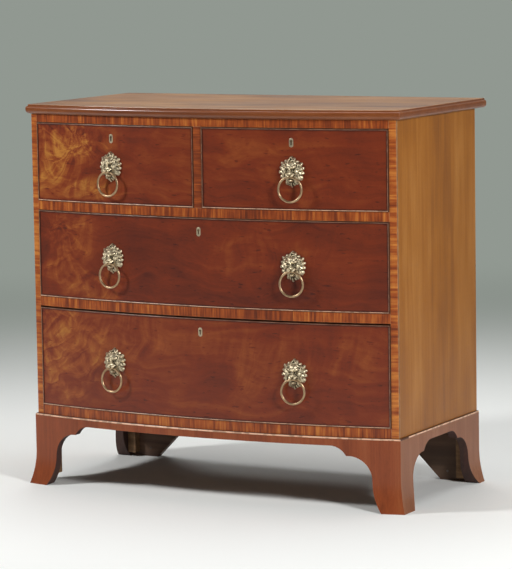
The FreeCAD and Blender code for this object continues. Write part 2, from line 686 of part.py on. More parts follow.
# ---- build and export --------------------------------------------------------------------
MASK = make_mask()
NUT_SHAPE = make_nut()
RING_SHAPE = make_ring()

make_carcase()
make_drawer_stops()
make_plinth()
for row in DRAWERS:
    make_drawer(*row)

bounds = FreeCAD.BoundBox()
for shape in pieces.values():
    bounds.add(shape.optimalBoundingBox(False))
shift = Vector(0, -(bounds.YMin + bounds.YMax) / 2, 0)

os.makedirs("parts", exist_ok=True)
for node, shape in pieces.items():
    moved = shape.copy()
    moved.translate(shift)
    moved.exportStep("parts/%s.step" % node)
print("%d nodes, slid %.3f mm along Y" % (len(pieces), shift.y))
print("overall %.1f x %.1f x %.1f mm" % (bounds.XLength, bounds.YLength, bounds.ZLength))
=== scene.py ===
# %% [markdown]
# # A bow front chest of drawers
#
# The chest is built the way a maker would: boards first, then veneer, then brass. The construction
# is already settled in the packed frame, which gives each board's place to a fraction of a
# millimetre. This lesson dresses it. Each cell makes one kind of piece or one finish.

# %% Load the frame
import json
import math
from itertools import product

import bmesh
import bpy
import numpy as np
from mathutils import Matrix, Vector


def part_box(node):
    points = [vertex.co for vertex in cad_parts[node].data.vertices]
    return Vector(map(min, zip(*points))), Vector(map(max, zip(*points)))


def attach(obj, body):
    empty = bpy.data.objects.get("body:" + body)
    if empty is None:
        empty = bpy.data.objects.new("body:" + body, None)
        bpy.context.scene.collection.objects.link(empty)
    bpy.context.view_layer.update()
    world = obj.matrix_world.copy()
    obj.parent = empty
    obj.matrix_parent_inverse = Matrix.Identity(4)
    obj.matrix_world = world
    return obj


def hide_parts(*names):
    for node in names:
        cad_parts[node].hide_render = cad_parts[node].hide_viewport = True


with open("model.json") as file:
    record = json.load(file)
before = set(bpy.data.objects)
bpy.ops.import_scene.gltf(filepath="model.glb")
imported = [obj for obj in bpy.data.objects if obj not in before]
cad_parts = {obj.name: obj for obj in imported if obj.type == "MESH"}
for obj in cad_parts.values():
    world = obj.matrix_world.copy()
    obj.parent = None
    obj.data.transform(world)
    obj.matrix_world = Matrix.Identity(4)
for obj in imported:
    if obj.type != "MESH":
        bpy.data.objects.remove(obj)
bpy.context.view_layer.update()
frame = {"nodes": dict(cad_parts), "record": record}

# %% [markdown]
# ## The bow
#
# The front is part of a large cylinder, and every rail, drawer front and moulding follows it. One
# could model each piece curved, but it is easier to think of them flat and to bend them at the
# end. So this cell finds the cylinder from the frame: its radius follows from the width of the
# carcase and from how far the middle stands before the corners.

# %% The bow's cylinder and the drawers' places
MM = 0.001
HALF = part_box("carcase_sides")[1].x
BOW = 50 * MM
SIDE_DEPTH = 408 * MM
BACK_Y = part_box("carcase_sides")[1].y
CORNER_Y = BACK_Y - SIDE_DEPTH
BOW_RADIUS = (HALF ** 2 + BOW ** 2) / (2 * BOW)
BOW_MIDDLE = CORNER_Y - BOW + BOW_RADIUS
DRAWERS = ("top_left", "top_right", "middle", "bottom")


def bow_y(x, out=0.0):
    """y of the bowed front at x, or of a surface that stands out before it."""
    return BOW_MIDDLE - math.sqrt((BOW_RADIUS + out) ** 2 - x * x)


def front_place(x, z):
    """Matrix that sets a fitting, made facing -Y with its back at y = 0, on the bowed front."""
    turn = Matrix.Rotation(math.asin(x / BOW_RADIUS), 4, "Z")
    return Matrix.Translation((x, bow_y(x), z)) @ turn


print("bow radius %.3f m, middle of the front at y = %.4f m" % (BOW_RADIUS, bow_y(0)))

# %% [markdown]
# ## The camera
#
# The chest is seen from its right, from a little above the top, through a long lens, so that its
# upright edges stay nearly parallel. The place and the turn are given as they are noted in a
# studio: where the camera stands, and how far it is turned, tipped down and rolled.

# %% Set the camera
CAMERA_PLACE = Vector((3.1187, -5.8397, 1.2462))
CAMERA_TURN = math.radians(28.03)
CAMERA_TIP = math.radians(6.87)
CAMERA_ROLL = math.radians(-0.90)
LENS_MM = 188.8

CLIP_END = 60


def place_object(name, data):
    """A new object at the origin, in the scene."""
    made = bpy.data.objects.new(name, data)
    bpy.context.scene.collection.objects.link(made)
    return made


camera_data = bpy.data.cameras.new("camera")
camera_data.lens, camera_data.clip_end = LENS_MM, CLIP_END
camera = place_object("camera", camera_data)
camera.matrix_world = (Matrix.Translation(CAMERA_PLACE)
                       @ Matrix.Rotation(CAMERA_TURN, 4, "Z")
                       @ Matrix.Rotation(math.pi / 2 - CAMERA_TIP, 4, "X")
                       @ Matrix.Rotation(CAMERA_ROLL, 4, "Z"))
bpy.context.scene.camera = camera
bpy.context.scene.view_settings.view_transform = "Standard"
print("lens %.1f mm at %s" % (LENS_MM, tuple(CAMERA_PLACE)))

# %% [markdown]
# ## Writing nodes as a sum
#
# A polished board is many effects laid over each other: broad figure, fine grain, pores, wear.
# Wiring those nodes by hand is slow to read, so a small class wraps a socket and lets ordinary
# + - * stand for Math nodes. Every other node comes from one method, which takes the node's type,
# its settings and what feeds its sockets. The Geometry Nodes trees further down use both too.

# %% Sockets that add and multiply
class Signal:
    """An output socket of a node tree, with sums written as sums."""

    def __init__(self, wiring, socket):
        self.maths, self.socket = wiring.maths, socket

    def __add__(self, other):
        return self.maths("ADD", self, other)

    def __sub__(self, other):
        return self.maths("SUBTRACT", self, other)

    def __rsub__(self, other):
        return self.maths("SUBTRACT", other, self)

    def __mul__(self, other):
        return self.maths("MULTIPLY", self, other)

    def __truediv__(self, other):
        return self.maths("DIVIDE", self, other)

    def __abs__(self):
        return self.maths("ABSOLUTE", self)

    __radd__, __rmul__ = __add__, __mul__


class Wiring:
    """What the tree of a material and a Geometry Nodes tree have in common."""

    def __init__(self, tree):
        self.tree = tree

    def feed(self, node, sockets):
        for key, value in sockets.items():
            if isinstance(value, Signal):
                self.tree.links.new(value.socket, node.inputs[key])
            else:
                node.inputs[key].default_value = value

    def node(self, kind, settings=None, sockets=None, output=0):
        made = self.tree.nodes.new(kind)
        for key, value in (settings or {}).items():
            if key == "stops":
                elements = made.color_ramp.elements
                while len(elements) < len(value):
                    elements.new(0.5)
                for element, (position, colour) in zip(elements, value):
                    element.position, element.color = position, (*colour, 1)
            else:
                setattr(made, key, value)
        self.feed(made, sockets or {})
        return Signal(self, made.outputs[output])

    def maths(self, operation, *values):
        return self.node("ShaderNodeMath", {"operation": operation}, dict(enumerate(values)))

    def vector(self, x, y, z):
        return self.node("ShaderNodeCombineXYZ", None, {0: x, 1: y, 2: z})

    def parts(self, vector):
        """x, y and z of a vector."""
        return [self.node("ShaderNodeSeparateXYZ", None, {0: vector}, output=i) for i in range(3)]


print("sums of sockets are ready")

# %% [markdown]
# A finish is the wiring of one material. It adds the few nodes that every surface needs, under
# names that say what they are for.

# %% A finish and its usual nodes
class Finish(Wiring):
    """One material: a node tree that ends in a Principled shader."""

    def __init__(self, name):
        self.material = bpy.data.materials.new(name)
        self.material.use_nodes = True
        super().__init__(self.material.node_tree)
        self.shader = self.tree.nodes["Principled BSDF"]

    def place(self):
        """x, y and z on the piece, in metres."""
        return self.parts(self.node("ShaderNodeTexCoord", output="Object"))

    def grain_place(self, run):
        """The place counted along the grain, which runs along the axis named run, and across it."""
        x, y, z = self.place()
        return {"x": (x, z + y, z - y), "y": (y, x + z, x - z), "z": (z, x + y, x - y)}[run]

    def noise(self, where, detail=2.0, rough=0.5, warp=0.0, scale=1.0):
        """Cloudy values about 0.5."""
        return self.node("ShaderNodeTexNoise", None, {"Vector": where, "Scale": scale,
                         "Detail": detail, "Roughness": rough, "Distortion": warp})

    def step(self, value, low, high, start=0.0, end=1.0):
        """Rises smoothly from start to end while value goes from low to high."""
        return self.node("ShaderNodeMapRange", {"interpolation_type": "SMOOTHSTEP"},
                         {"Value": value, 1: low, 2: high, 3: start, 4: end})

    def ramp(self, value, stops):
        return self.node("ShaderNodeValToRGB", {"stops": stops}, {0: value})

    def mix(self, factor, one, other):
        """One colour, or the other where factor is 1; the colour sockets are numbers 6 and 7."""
        one, other = [c if isinstance(c, Signal) else (*c, 1) for c in (one, other)]
        return self.node("ShaderNodeMix", {"data_type": "RGBA"}, {0: factor, 6: one, 7: other},
                         output=2)

    def bump(self, height, depth):
        return self.node("ShaderNodeBump", None,
                         {"Height": height, "Distance": depth, "Strength": 1.0})

    def attribute(self, name):
        return self.node("ShaderNodeAttribute", {"attribute_name": name}, output="Fac")

    def done(self, sockets):
        self.feed(self.shader, sockets)
        return self.material


print("usual nodes of a finish:", ", ".join(name for name in vars(Finish) if name[0] != "_"))

# %% [markdown]
# ## Mahogany
#
# All the show wood is mahogany, but each place shows another side of it. What they share is the
# fine stuff: open pores along the grain, a slow drift of colour, and french polish on top. That
# shared part is one function, which takes a figure between 0 (dark) and 1 (golden) and turns it
# into a finished surface. The pores are stretched noise, dark in colour and sunk a little.

# %% The shared part of every polished wood
# pale colour of worn arrises; along the top's upper arris it also stands for a painted highlight
ARRIS_WEAR_AND_HIGHLIGHT = (0.50, 0.27, 0.14)
PORE_BROWN = (0.035, 0.010, 0.006)
PORE_STRETCH = (70, 1500, 1500)
PORE_DEPTH = 0.04 * MM
PORES_SHOW, PORE_STRENGTH = (0.58, 0.72), 0.35
PALE_ARRIS_PATCHES, PALE_ARRIS_LEAST = (0.38, 0.62), 0.35


def three_tones(dark, middle, light):
    return [(0.0, dark), (0.5, middle), (1.0, light)]


def polished(finish, figure, palette, grain, gloss=0.25, rubbed=ARRIS_WEAR_AND_HIGHLIGHT, rub=0.7, specular=0.18):
    """A polished wood whose colour follows figure; grain is a vector along which x is slow.

    Where the face attribute arris is set the colour turns pale: wear on the eased edges of boards,
    and wear with a painted highlight on bead crests and along the top's upper arris.
    """
    colour = finish.ramp(figure, palette)
    stretched = finish.node("ShaderNodeVectorMath", {"operation": "MULTIPLY"},
                            {0: grain, 1: PORE_STRETCH})
    pores = finish.step(finish.noise(stretched, 1.0), *PORES_SHOW)
    colour = finish.mix(pores * PORE_STRENGTH, colour, PORE_BROWN)
    if rubbed:
        patches = finish.step(finish.noise(grain, 3.0, scale=60.0), *PALE_ARRIS_PATCHES, PALE_ARRIS_LEAST, 1.0)
        colour = finish.mix(finish.attribute("arris") * patches * rub, colour, rubbed)
    smears = finish.noise(grain, 3.0, scale=9.0)
    return finish.done({
        "Base Color": colour,
        "Roughness": smears * 0.16 + 0.34,
        "Coat Weight": gloss,
        "Coat Roughness": 0.20,
        "Specular IOR Level": specular,
        "Coat IOR": 1.5,
        "Normal": finish.bump(smears * 0.3 - pores, PORE_DEPTH),
    })


print("pores are %.2f mm deep" % (PORE_DEPTH / MM))

# %% [markdown]
# ## Flame veneer on the drawer fronts
#
# Each drawer front carries one sheet of crotch figure: golden plumes at the left, where the branch
# met the trunk, and quiet red wood at the right. A straight stripe pattern would look printed, so
# the plane is first bent by a slow noise, and the stripes are drawn in the bent plane. Where the
# plumes are, a soft oval mask lifts the colour towards gold.

# %% The flame finish
FLAME_PALETTE = [(0.0, (0.070, 0.014, 0.008)), (0.34, (0.180, 0.029, 0.009)),
                 (0.58, (0.270, 0.064, 0.015)), (1.0, (0.460, 0.185, 0.034))]
# for each drawer: its name, a seed, tone of the quiet wood, heart of the crotch (x, z), and golden
# plumes (x, z, half width, half height, strength), in metres about the middle of the front
FLAMES = [
    ("top_left", 1.3, 0.34, (-0.100, 0.050),
     [(-0.135, 0.030, 0.085, 0.075, 1.0), (-0.055, -0.058, 0.075, 0.028, 1.0),
      (-0.02, 0.055, 0.05, 0.03, 0.5), (-0.16, -0.05, 0.05, 0.04, 0.45)]),
    ("top_right", 4.1, 0.31, (0.02, -0.28),
     [(-0.06, 0.03, 0.12, 0.05, 0.22), (0.05, -0.02, 0.09, 0.05, 0.12)]),
    ("middle", 7.7, 0.25, (-0.40, 0.06),
     [(-0.345, 0.03, 0.10, 0.085, 0.62), (-0.29, -0.065, 0.10, 0.04, 0.75),
      (0.20, 0.02, 0.16, 0.06, 0.25)]),
    ("bottom", 11.2, 0.33, (-0.46, 0.13),
     [(-0.37, 0.03, 0.14, 0.11, 0.85), (-0.16, 0.07, 0.13, 0.06, 0.40),
      (0.12, 0.02, 0.16, 0.08, 0.30), (0.33, 0.05, 0.11, 0.06, 0.20)]),
]
PLUME_WANDER = 2.2
# painted shade: the veneer darkens in a band along the cockbeads, where the proud bead shades it
COCKBEAD_PAINTED_SHADE = (2.5 * MM, 7 * MM)


def flame(name, centre, half, seed, tone, heart, plumes):
    """centre and half are those of the front; what follows is the rest of a row of FLAMES."""
    finish = Finish(name)
    x, y, z = finish.place()
    u, v = x - centre[0], z - centre[1]
    drift = finish.noise(finish.vector(u + seed, v * 1.4, seed), scale=6.0) - 0.5
    sway = finish.noise(finish.vector(u, v * 1.4 + seed, seed), warp=0.6, scale=10.0) - 0.5

    golden = None
    for px, pz, wide, tall, strength in plumes:
        across = (u - px) / wide + drift * PLUME_WANDER
        up = (v - pz) / tall + sway * PLUME_WANDER
        inside = finish.step(across * across + up * up, 0.0, 1.5, strength, 0.0)
        golden = inside if golden is None else finish.maths("MAXIMUM", golden, inside)

    away_x, away_z = u - heart[0] + drift * 0.09, v - heart[1] + sway * 0.07
    away = finish.maths("SQRT", away_x * away_x + away_z * away_z * 1.5 + 0.0003)
    way_x, way_z = away_x / away, away_z / away
    arcs = finish.noise(finish.vector(way_x * 1.6, way_z * 1.6, away * 52 + seed), 4.0, 0.62, 0.5)
    feather = finish.noise(finish.vector(way_x * 6 + away * 9, way_z * 6 - away * 6, away * 11 + seed),
                           4.0, 0.60, 0.4)
    quiet_grain = finish.noise(finish.vector(u * 5 + drift * 2, v * 46 + drift * 5 + u * 4, seed + 3),
                               5.0, 0.66, 0.15)
    flecks = finish.step(finish.noise(finish.vector(u * 45, v * 160, seed)), 0.64, 0.74)
    quiet = (quiet_grain - 0.5) * 0.62 + (feather - 0.5) * 0.34 + drift * 0.42 + tone
    lively = (arcs - 0.5) * 1.7 + (feather - 0.5) * 1.5 + sway * 0.9 + 0.60
    # the band near the edges is painted shade along the cockbeads
    rim = finish.maths("MINIMUM", half[0] - abs(u), half[1] - abs(v))
    dirt_and_painted_shade = finish.step(rim, *COCKBEAD_PAINTED_SHADE, 0.22, 0.0)
    figure = quiet + golden * (lively - quiet) - flecks * 0.25 - dirt_and_painted_shade
    return polished(finish, figure, FLAME_PALETTE, finish.vector(x, z, y), rubbed=None)


print(len(FLAMES), "sheets of veneer, shade-painted for %.0f mm by the cockbeads" % (COCKBEAD_PAINTED_SHADE[1] / MM))

# %% [markdown]
# ## Crossbanding
#
# Rails and stiles are faced with thin strips whose grain runs across them, cut from one plank and
# laid end to end. So the stripes cross the rail, and every hand's breadth there is a joint where
# the colour jumps. The same function serves rails and stiles: it is told which way the rail runs.

# %% The crossbanded finish
BAND_PALETTE = [(0.05, (0.110, 0.024, 0.010)), (0.36, (0.205, 0.040, 0.011)),
                (0.62, (0.350, 0.078, 0.015)), (1.0, (0.570, 0.200, 0.038))]


def crossbanded(name, run, seed, strip=0.13, lift=0.0):
    """run is "x" for rails and "z" for uprights; strip is the length of one piece of veneer."""
    finish = Finish(name)
    x, y, z = finish.place()
    along, across = (x, z) if run == "x" else (z, x)
    count = (along + seed) / strip
    number = finish.maths("FLOOR", count)
    tone = finish.node("ShaderNodeTexWhiteNoise", {"noise_dimensions": "1D"}, {"W": number})
    edge = abs(count - number - 0.5)
    joint = finish.step(edge, 0.494, 0.499)
    phase = tone * 7 + seed

    def stripes(scale):
        where = finish.vector(along * scale, across * 14, phase)
        return finish.noise(where, 1.0, warp=0.15) - 0.5

    figure = (stripes(7) * 0.45 + stripes(60) * 0.75 + stripes(190) * 1.10
              + stripes(520) * 0.35 + (tone - 0.5) * 0.08 + 0.48 + lift - joint * 0.2)
    return polished(finish, figure, BAND_PALETTE, finish.vector(across, along, y))


print("crossbanding:", len(BAND_PALETTE), "colours")

# %% [markdown]
# ## Straight grained boards
#
# The side boards, the top and the plinth are solid or plainly veneered. Their figure is long
# streaks with a few slow clouds. One function makes them all; the palette and the direction of
# the grain tell them apart.

# %% The plain mahogany finish
def straight(name, run, seed, palette, streak=0.8, clouds=0.5, **polish):
    """run is the letter of the axis along which the grain runs; polish goes to polished()."""
    finish = Finish(name)
    along, across, depth = finish.grain_place(run)
    bend = (finish.noise(finish.vector(along * 1.5, across * 2, seed)) - 0.5) * 0.02
    fine = finish.noise(finish.vector(along * 4, (across + bend) * 150, depth * 150), 3.0, 0.6)
    broad = finish.noise(finish.vector(along * 2.2, (across + bend) * 26, depth * 26 + seed),
                         3.0, 0.55, 0.3)
    cloud = finish.noise(finish.vector(along * 3, across * 7, seed))
    figure = ((fine - 0.5) * 0.7 * streak + (broad - 0.5) * streak
              + (cloud - 0.5) * clouds + 0.5)
    return polished(finish, figure, palette, finish.vector(along, across, depth), **polish)


SIDE_PALETTE = three_tones((0.155, 0.043, 0.008), (0.340, 0.120, 0.014), (0.500, 0.220, 0.050))
TOP_PALETTE = three_tones((0.092, 0.026, 0.005), (0.215, 0.076, 0.009), (0.370, 0.164, 0.030))
EDGE_PALETTE = three_tones((0.095, 0.022, 0.008), (0.210, 0.058, 0.014), (0.330, 0.110, 0.035))
BEAD_PALETTE = three_tones((0.040, 0.013, 0.008), (0.085, 0.026, 0.012), (0.170, 0.060, 0.028))
PLINTH_PALETTE = three_tones((0.110, 0.023, 0.009), (0.265, 0.060, 0.018), (0.360, 0.120, 0.040))
PLINTH_SIDE_PALETTE = three_tones((0.150, 0.050, 0.022), (0.270, 0.100, 0.045),
                                  (0.400, 0.190, 0.100))
# pale crest colour of the beads: some wear, and a painted highlight
BEAD_CREST_WEAR_AND_HIGHLIGHT = (0.80, 0.50, 0.34)
print("finishes for boards, bands and flame veneer are ready")

# %% [markdown]
# ## Wood that isn't polished
#
# The linings are oak, the boards behind and under the show wood are pine. Both are bare: dry,
# a little dirty, and darker towards grey where hands and air reach them. Two noises at right
# angles give pine its stripes; oak gets short dark pores instead of stripes.

# %% Oak and pine
PORE_SHADE, GRIME_SHADE = (0.10, 0.05, 0.022), (0.085, 0.055, 0.035)
BARE_DEPTH = 0.12 * MM
OAK_RINGS, PINE_RINGS = (45, 900), (60, 500)


def bare(name, run, seed, dark, light, rings_and_pores, dirt):
    """dark and light are (position, colour); the scales are those of rings and of pores."""
    ring_scale, pore_scale = rings_and_pores
    finish = Finish(name)
    along, across, depth = finish.grain_place(run)
    bend = (finish.noise(finish.vector(along * 2, across * 3, seed)) - 0.5) * 0.05
    rings = finish.noise(finish.vector(along * 1.2, (across + bend) * ring_scale, depth * 20),
                         3.0, 0.55)
    pores = finish.noise(finish.vector(along * 90, across * pore_scale, depth * pore_scale), 1.0)
    pores = finish.step(pores, 0.60, 0.70)
    dirt_and_painted_shade = finish.noise(finish.vector(along * 4, across * 6, depth * 6 + seed), 4.0, 0.65)
    dirt_and_painted_shade = finish.step(dirt_and_painted_shade, 0.45, 0.75)
    colour = finish.ramp(rings, [dark, light])
    colour = finish.mix(pores * 0.45, colour, PORE_SHADE)
    colour = finish.mix(dirt_and_painted_shade * dirt, colour, GRIME_SHADE)
    return finish.done({"Base Color": colour, "Roughness": rings * 0.2 + 0.62,
                        "Normal": finish.bump(rings * 0.5 - pores, BARE_DEPTH)})


OAK_TONES = (0.3, (0.30, 0.17, 0.075)), (0.7, (0.43, 0.27, 0.13))
OAK = bare("oak_lining", "y", 2.0, *OAK_TONES, OAK_RINGS, 0.35)
OAK_ACROSS = bare("oak_across", "x", 5.0, *OAK_TONES, OAK_RINGS, 0.35)
PINE = bare("old_pine", "x", 4.0, (0.35, (0.17, 0.085, 0.035)), (0.65, (0.31, 0.17, 0.075)),
            PINE_RINGS, 0.6)
BACK_PINE = bare("back_board_pine", "x", 4.0, (0.35, (0.12, 0.062, 0.030)),
                 (0.65, (0.22, 0.125, 0.062)), PINE_RINGS, 0.8)
STAINED = bare("stained_pine", "x", 8.0, (0.35, (0.085, 0.040, 0.024)),
               (0.65, (0.160, 0.085, 0.050)), PINE_RINGS, 0.6)
# very dark, for the plinth's inner and under faces: unpolished wood and painted shade
SHADED = bare("unpolished_mahogany", "z", 8.0, (0.35, (0.035, 0.012, 0.010)),
              (0.65, (0.070, 0.024, 0.018)), PINE_RINGS, 0.5)
print("bare woods are ready")

# %% [markdown]
# ## Brass and iron
#
# The brass is old and pale: rubbed bright where fingers and polish reach it, brown and dull in the
# hollows. The hollows are known from the sculpted mesh, which stores them as an attribute named
# "hollow", so the dirt sits where it would settle instead of in random spots.

# %% The metals
SCRATCH_DEPTH = 0.02 * MM


def old_metal(name, bright, dull, rough, tarnish=0.3):
    finish = Finish(name)
    x, y, z = finish.place()
    where = finish.vector(x, y, z)
    blotch = finish.step(finish.noise(where, 4.0, 0.6, scale=140.0), 0.42, 0.68, 0.0, tarnish)
    settled = finish.step(finish.attribute("hollow"), 0.06, 0.62)
    dirt = finish.maths("MAXIMUM", blotch, settled)
    scratches = finish.noise(finish.vector(x * 900, y * 900, z * 260))
    return finish.done({
        "Base Color": finish.mix(dirt, bright, dull),
        "Metallic": 1.0 - dirt * 0.45,
        "Roughness": dirt * 0.30 + scratches * 0.12 + rough,
        "Normal": finish.bump(scratches + finish.noise(where, scale=600.0) * 2, SCRATCH_DEPTH),
    })


BRASS = old_metal("antique_brass", (0.66, 0.56, 0.38), (0.040, 0.028, 0.014), 0.33)
RING_BRASS = old_metal("worn_ring_brass", (0.52, 0.36, 0.21), (0.13, 0.080, 0.040), 0.30)
LOCK_IRON = old_metal("lock_iron", (0.30, 0.27, 0.22), (0.09, 0.055, 0.035), 0.38, 0.6)
NAIL_IRON = old_metal("nail_iron", (0.22, 0.19, 0.17), (0.07, 0.04, 0.028), 0.45, 0.7)
print("metals are ready")

# %% [markdown]
# ## The studio
#
# Furniture of this kind is usually shown on a pale paper floor that sweeps up into a wall, far
# enough behind that it falls into grey. The sweep is one strip along the line of sight: flat
# floor, a quarter turn, a wall. Near the chest the paper is lit like the chest and takes its
# shadow. Far behind, no lamp reaches it, so its grey there is painted shade: the paper is given
# that grey and glows with it to the camera and to anything that mirrors it, which costs no extra
# light on the chest.

# %% Floor and backdrop in one sweep
SIGHT = Matrix.Rotation(CAMERA_TURN, 4, "Z") @ Vector((0, 1, 0))
ACROSS = Matrix.Rotation(CAMERA_TURN, 4, "Z") @ Vector((1, 0, 0))
FLOOR_END, SWEEP_RADIUS, WALL_HEIGHT, STAGE_HALF = 12.5, 2.0, 7.0, 9.0
BEHIND_CAMERA, SWEEP_STEPS = -4.0, 16
PALE_UNTIL, GREY_FROM = 7.35, 11.0
PAPER_PALE = (0.900, 0.912, 0.890)
# painted shade of the far paper, which glows with it
PAPER_SHADE_GREY = (0.283, 0.314, 0.283)


def sweep_profile():
    """(distance from the camera, height) from behind the camera to the top of the wall."""
    points = [(BEHIND_CAMERA, 0.0), (FLOOR_END, 0.0)]
    for number in range(1, SWEEP_STEPS + 1):
        angle = number * math.pi / (2 * SWEEP_STEPS)
        points.append((FLOOR_END + SWEEP_RADIUS * math.sin(angle),
                       SWEEP_RADIUS * (1 - math.cos(angle))))
    return points + [(FLOOR_END + SWEEP_RADIUS, WALL_HEIGHT)]


def make_stage():
    vertices = []
    for distance, height in sweep_profile():
        middle = Vector((CAMERA_PLACE.x, CAMERA_PLACE.y, height)) + SIGHT * distance
        vertices += [middle - ACROSS * STAGE_HALF, middle + ACROSS * STAGE_HALF]
    faces = [(i, i + 1, i + 3, i + 2) for i in range(0, len(vertices) - 2, 2)]
    mesh = bpy.data.meshes.new("paper_sweep")
    mesh.from_pydata(vertices, [], faces)
    mesh.shade_smooth()
    paper = Finish("studio_paper")
    x, y = paper.place()[:2]
    distance = (x - CAMERA_PLACE.x) * SIGHT.x + (y - CAMERA_PLACE.y) * SIGHT.y
    far = paper.step(distance, PALE_UNTIL, GREY_FROM)
    rays = [paper.node("ShaderNodeLightPath", output="Is %s Ray" % kind)
            for kind in ("Camera", "Glossy", "Transmission")]
    glow = far * (rays[0] + rays[1] + rays[2])
    colour = paper.mix(glow, paper.mix(far, PAPER_PALE, PAPER_SHADE_GREY), (0, 0, 0))
    mesh.materials.append(paper.done({"Base Color": colour, "Roughness": 0.9,
                                      "Specular IOR Level": 0.0, "Emission Strength": 1.0,
                                      "Emission Color": paper.mix(glow, (0, 0, 0), PAPER_SHADE_GREY)}))
    stage = place_object("paper_sweep", mesh)
    return stage


print(len(make_stage().data.polygons), "strips of paper")

# %% [markdown]
# ## Light
#
# Two soft boxes stand left and right before the chest, a third hangs over it and a fourth lights
# the paper behind. The front ones model the handles and draw their shadows down the drawers, and
# the one above sets the dark pool under the carcase. The world only fills in. Together they are
# about as strong as it takes for a colour to render as written.

# %% Soft boxes and world
def soft_box(name, place, target, wide, tall, power):
    lamp = bpy.data.lights.new(name, "AREA")
    lamp.shape, lamp.size, lamp.size_y, lamp.energy = "RECTANGLE", wide, tall, power
    aim = (Vector(target) - Vector(place)).to_track_quat("-Z", "Y")
    box = place_object(name, lamp)
    box.matrix_world = Matrix.Translation(place) @ aim.to_matrix().to_4x4()


soft_box("left_soft_box", (-1.75, -1.55, 2.05), (-0.2, 0, 0.4), 0.4, 0.4, 44)
soft_box("right_soft_box", (2.6, -1.4, 1.8), (0.2, 0, 0.4), 0.5, 0.5, 58)
soft_box("overhead_soft_box", (0.1, 0.5, 3.0), (0, -0.1, 0), 2.4, 1.6, 40)
soft_box("rear_soft_box", (-1.1, 2.3, 2.2), (-0.7, 1.4, 0), 1.8, 1.0, 17)

FILL_COLOUR, FILL_STRENGTH = (0.93, 0.97, 1.0, 1), 0.06
world = bpy.data.worlds.new("studio_air")
bpy.context.scene.world = world
world.use_nodes = True
background = world.node_tree.nodes["Background"].inputs
background["Color"].default_value = FILL_COLOUR
background["Strength"].default_value = FILL_STRENGTH
print("four soft boxes and a fill")

# %% [markdown]
# ## Loops, skins and small boards
#
# Most wooden pieces are either a row of cross-sections joined by a skin, or a few blocks that
# share their corners. Both are easier to control in mesh code than in a modifier. A skin takes
# closed loops of points. The block builder takes the cuts along each axis and asks for every cell
# whether there is wood in it, so a rebate or a groove is a cell left out.

# %% Skins and blocks
SEGMENT = 9 * MM
ARRIS_FACES = 2


def even(start, end, count):
    """count + 1 values in even steps from start to end."""
    return [start + (end - start) * number / count for number in range(count + 1)]


def spread(stops, step=SEGMENT):
    """The same stops with even ones between them, none further apart than step."""
    filled = [stops[0]]
    for start, end in zip(stops, stops[1:]):
        count = max(1, math.ceil(abs(end - start) / step - 1e-6))
        filled += even(start, end, count)[1:]
    return filled


def swept(section, shares, point):
    """One loop for each share of a length; point(share, a, b) places a point of the section."""
    return [[point(share, a, b) for a, b in section] for share in shares]


def skin(bm, loops, closed=False):
    """Faces between loops of points; open rows of loops get a cap at both ends."""
    rings = [[bm.verts.new(point) for point in loop] for loop in loops]
    pairs = list(zip(rings, rings[1:])) + ([(rings[-1], rings[0])] if closed else [])
    for ring, following in pairs:
        for number in range(len(ring)):
            after = (number + 1) % len(ring)
            bm.faces.new((ring[number], ring[after], following[after], following[number]))
    if not closed:
        bm.faces.new(rings[0])
        bm.faces.new(rings[-1])


def blocks(bm, xs, ys, zs, is_wood):
    """A shell round those cells of the grid where is_wood(x, y, z) is true at the middle."""
    corners = {}

    def corner(i, j, k):
        if (i, j, k) not in corners:
            corners[i, j, k] = bm.verts.new((xs[i], ys[j], zs[k]))
        return corners[i, j, k]

    def filled(i, j, k):
        inside = 0 <= i < len(xs) - 1 and 0 <= j < len(ys) - 1 and 0 <= k < len(zs) - 1
        return inside and is_wood((xs[i] + xs[i + 1]) / 2, (ys[j] + ys[j + 1]) / 2,
                                  (zs[k] + zs[k + 1]) / 2)

    for cell in product(*(range(len(cuts) - 1) for cuts in (xs, ys, zs))):
        if not filled(*cell):
            continue
        for axis, way in product(range(3), (0, 1)):
            neighbour = list(cell)
            neighbour[axis] += 2 * way - 1
            if filled(*neighbour):
                continue
            face = []
            for a, b in ((0, 0), (1, 0), (1, 1), (0, 1)):
                at = list(cell)
                at[axis] += way
                at[(axis + 1) % 3] += a
                at[(axis + 2) % 3] += b
                face.append(corner(*at))
            bm.faces.new(face)


def as_object(bm, name):
    """Turns the mesh code's result into an object with its faces outward."""
    bmesh.ops.recalc_face_normals(bm, faces=bm.faces)
    mesh = bpy.data.meshes.new(name)
    bm.to_mesh(mesh)
    bm.free()
    return place_object(name, mesh)


def skinned(name, rows, closed=False):
    """One object from rows of loops, each row under its own skin."""
    bm = bmesh.new()
    for loops in rows:
        skin(bm, loops, closed)
    return as_object(bm, name)


def bevel(piece, width, angle=35):
    """Takes the sharpness off every arris, as a maker does with fine paper."""
    modifier = piece.modifiers.new("eased_arrises", "BEVEL")
    modifier.width, modifier.segments = width, ARRIS_FACES
    modifier.limit_method, modifier.angle_limit = "ANGLE", math.radians(angle)
    modifier.use_clamp_overlap = True
    return piece


print("mesh tools are ready, one station every %.0f mm" % (SEGMENT / MM))

# %% [markdown]
# ## Finishing a piece
#
# When its modifiers are done, a piece is turned into a plain mesh, shaded smooth with its arrises
# kept sharp, and told which body it moves with; the frame's own piece that it stands for is hidden.
# Broad faces lead the shading, so that a flat board isn't shaded like a pillow by its eased edges.
# The worn arrises need to be known to the polish, so faces that look neither along an axis nor
# along the bow's radius are marked: on a board, those are just the eased edges.

# %% Plain meshes, worn arrises and bodies
SQUARE, FACE_LEAD = 0.96, 60
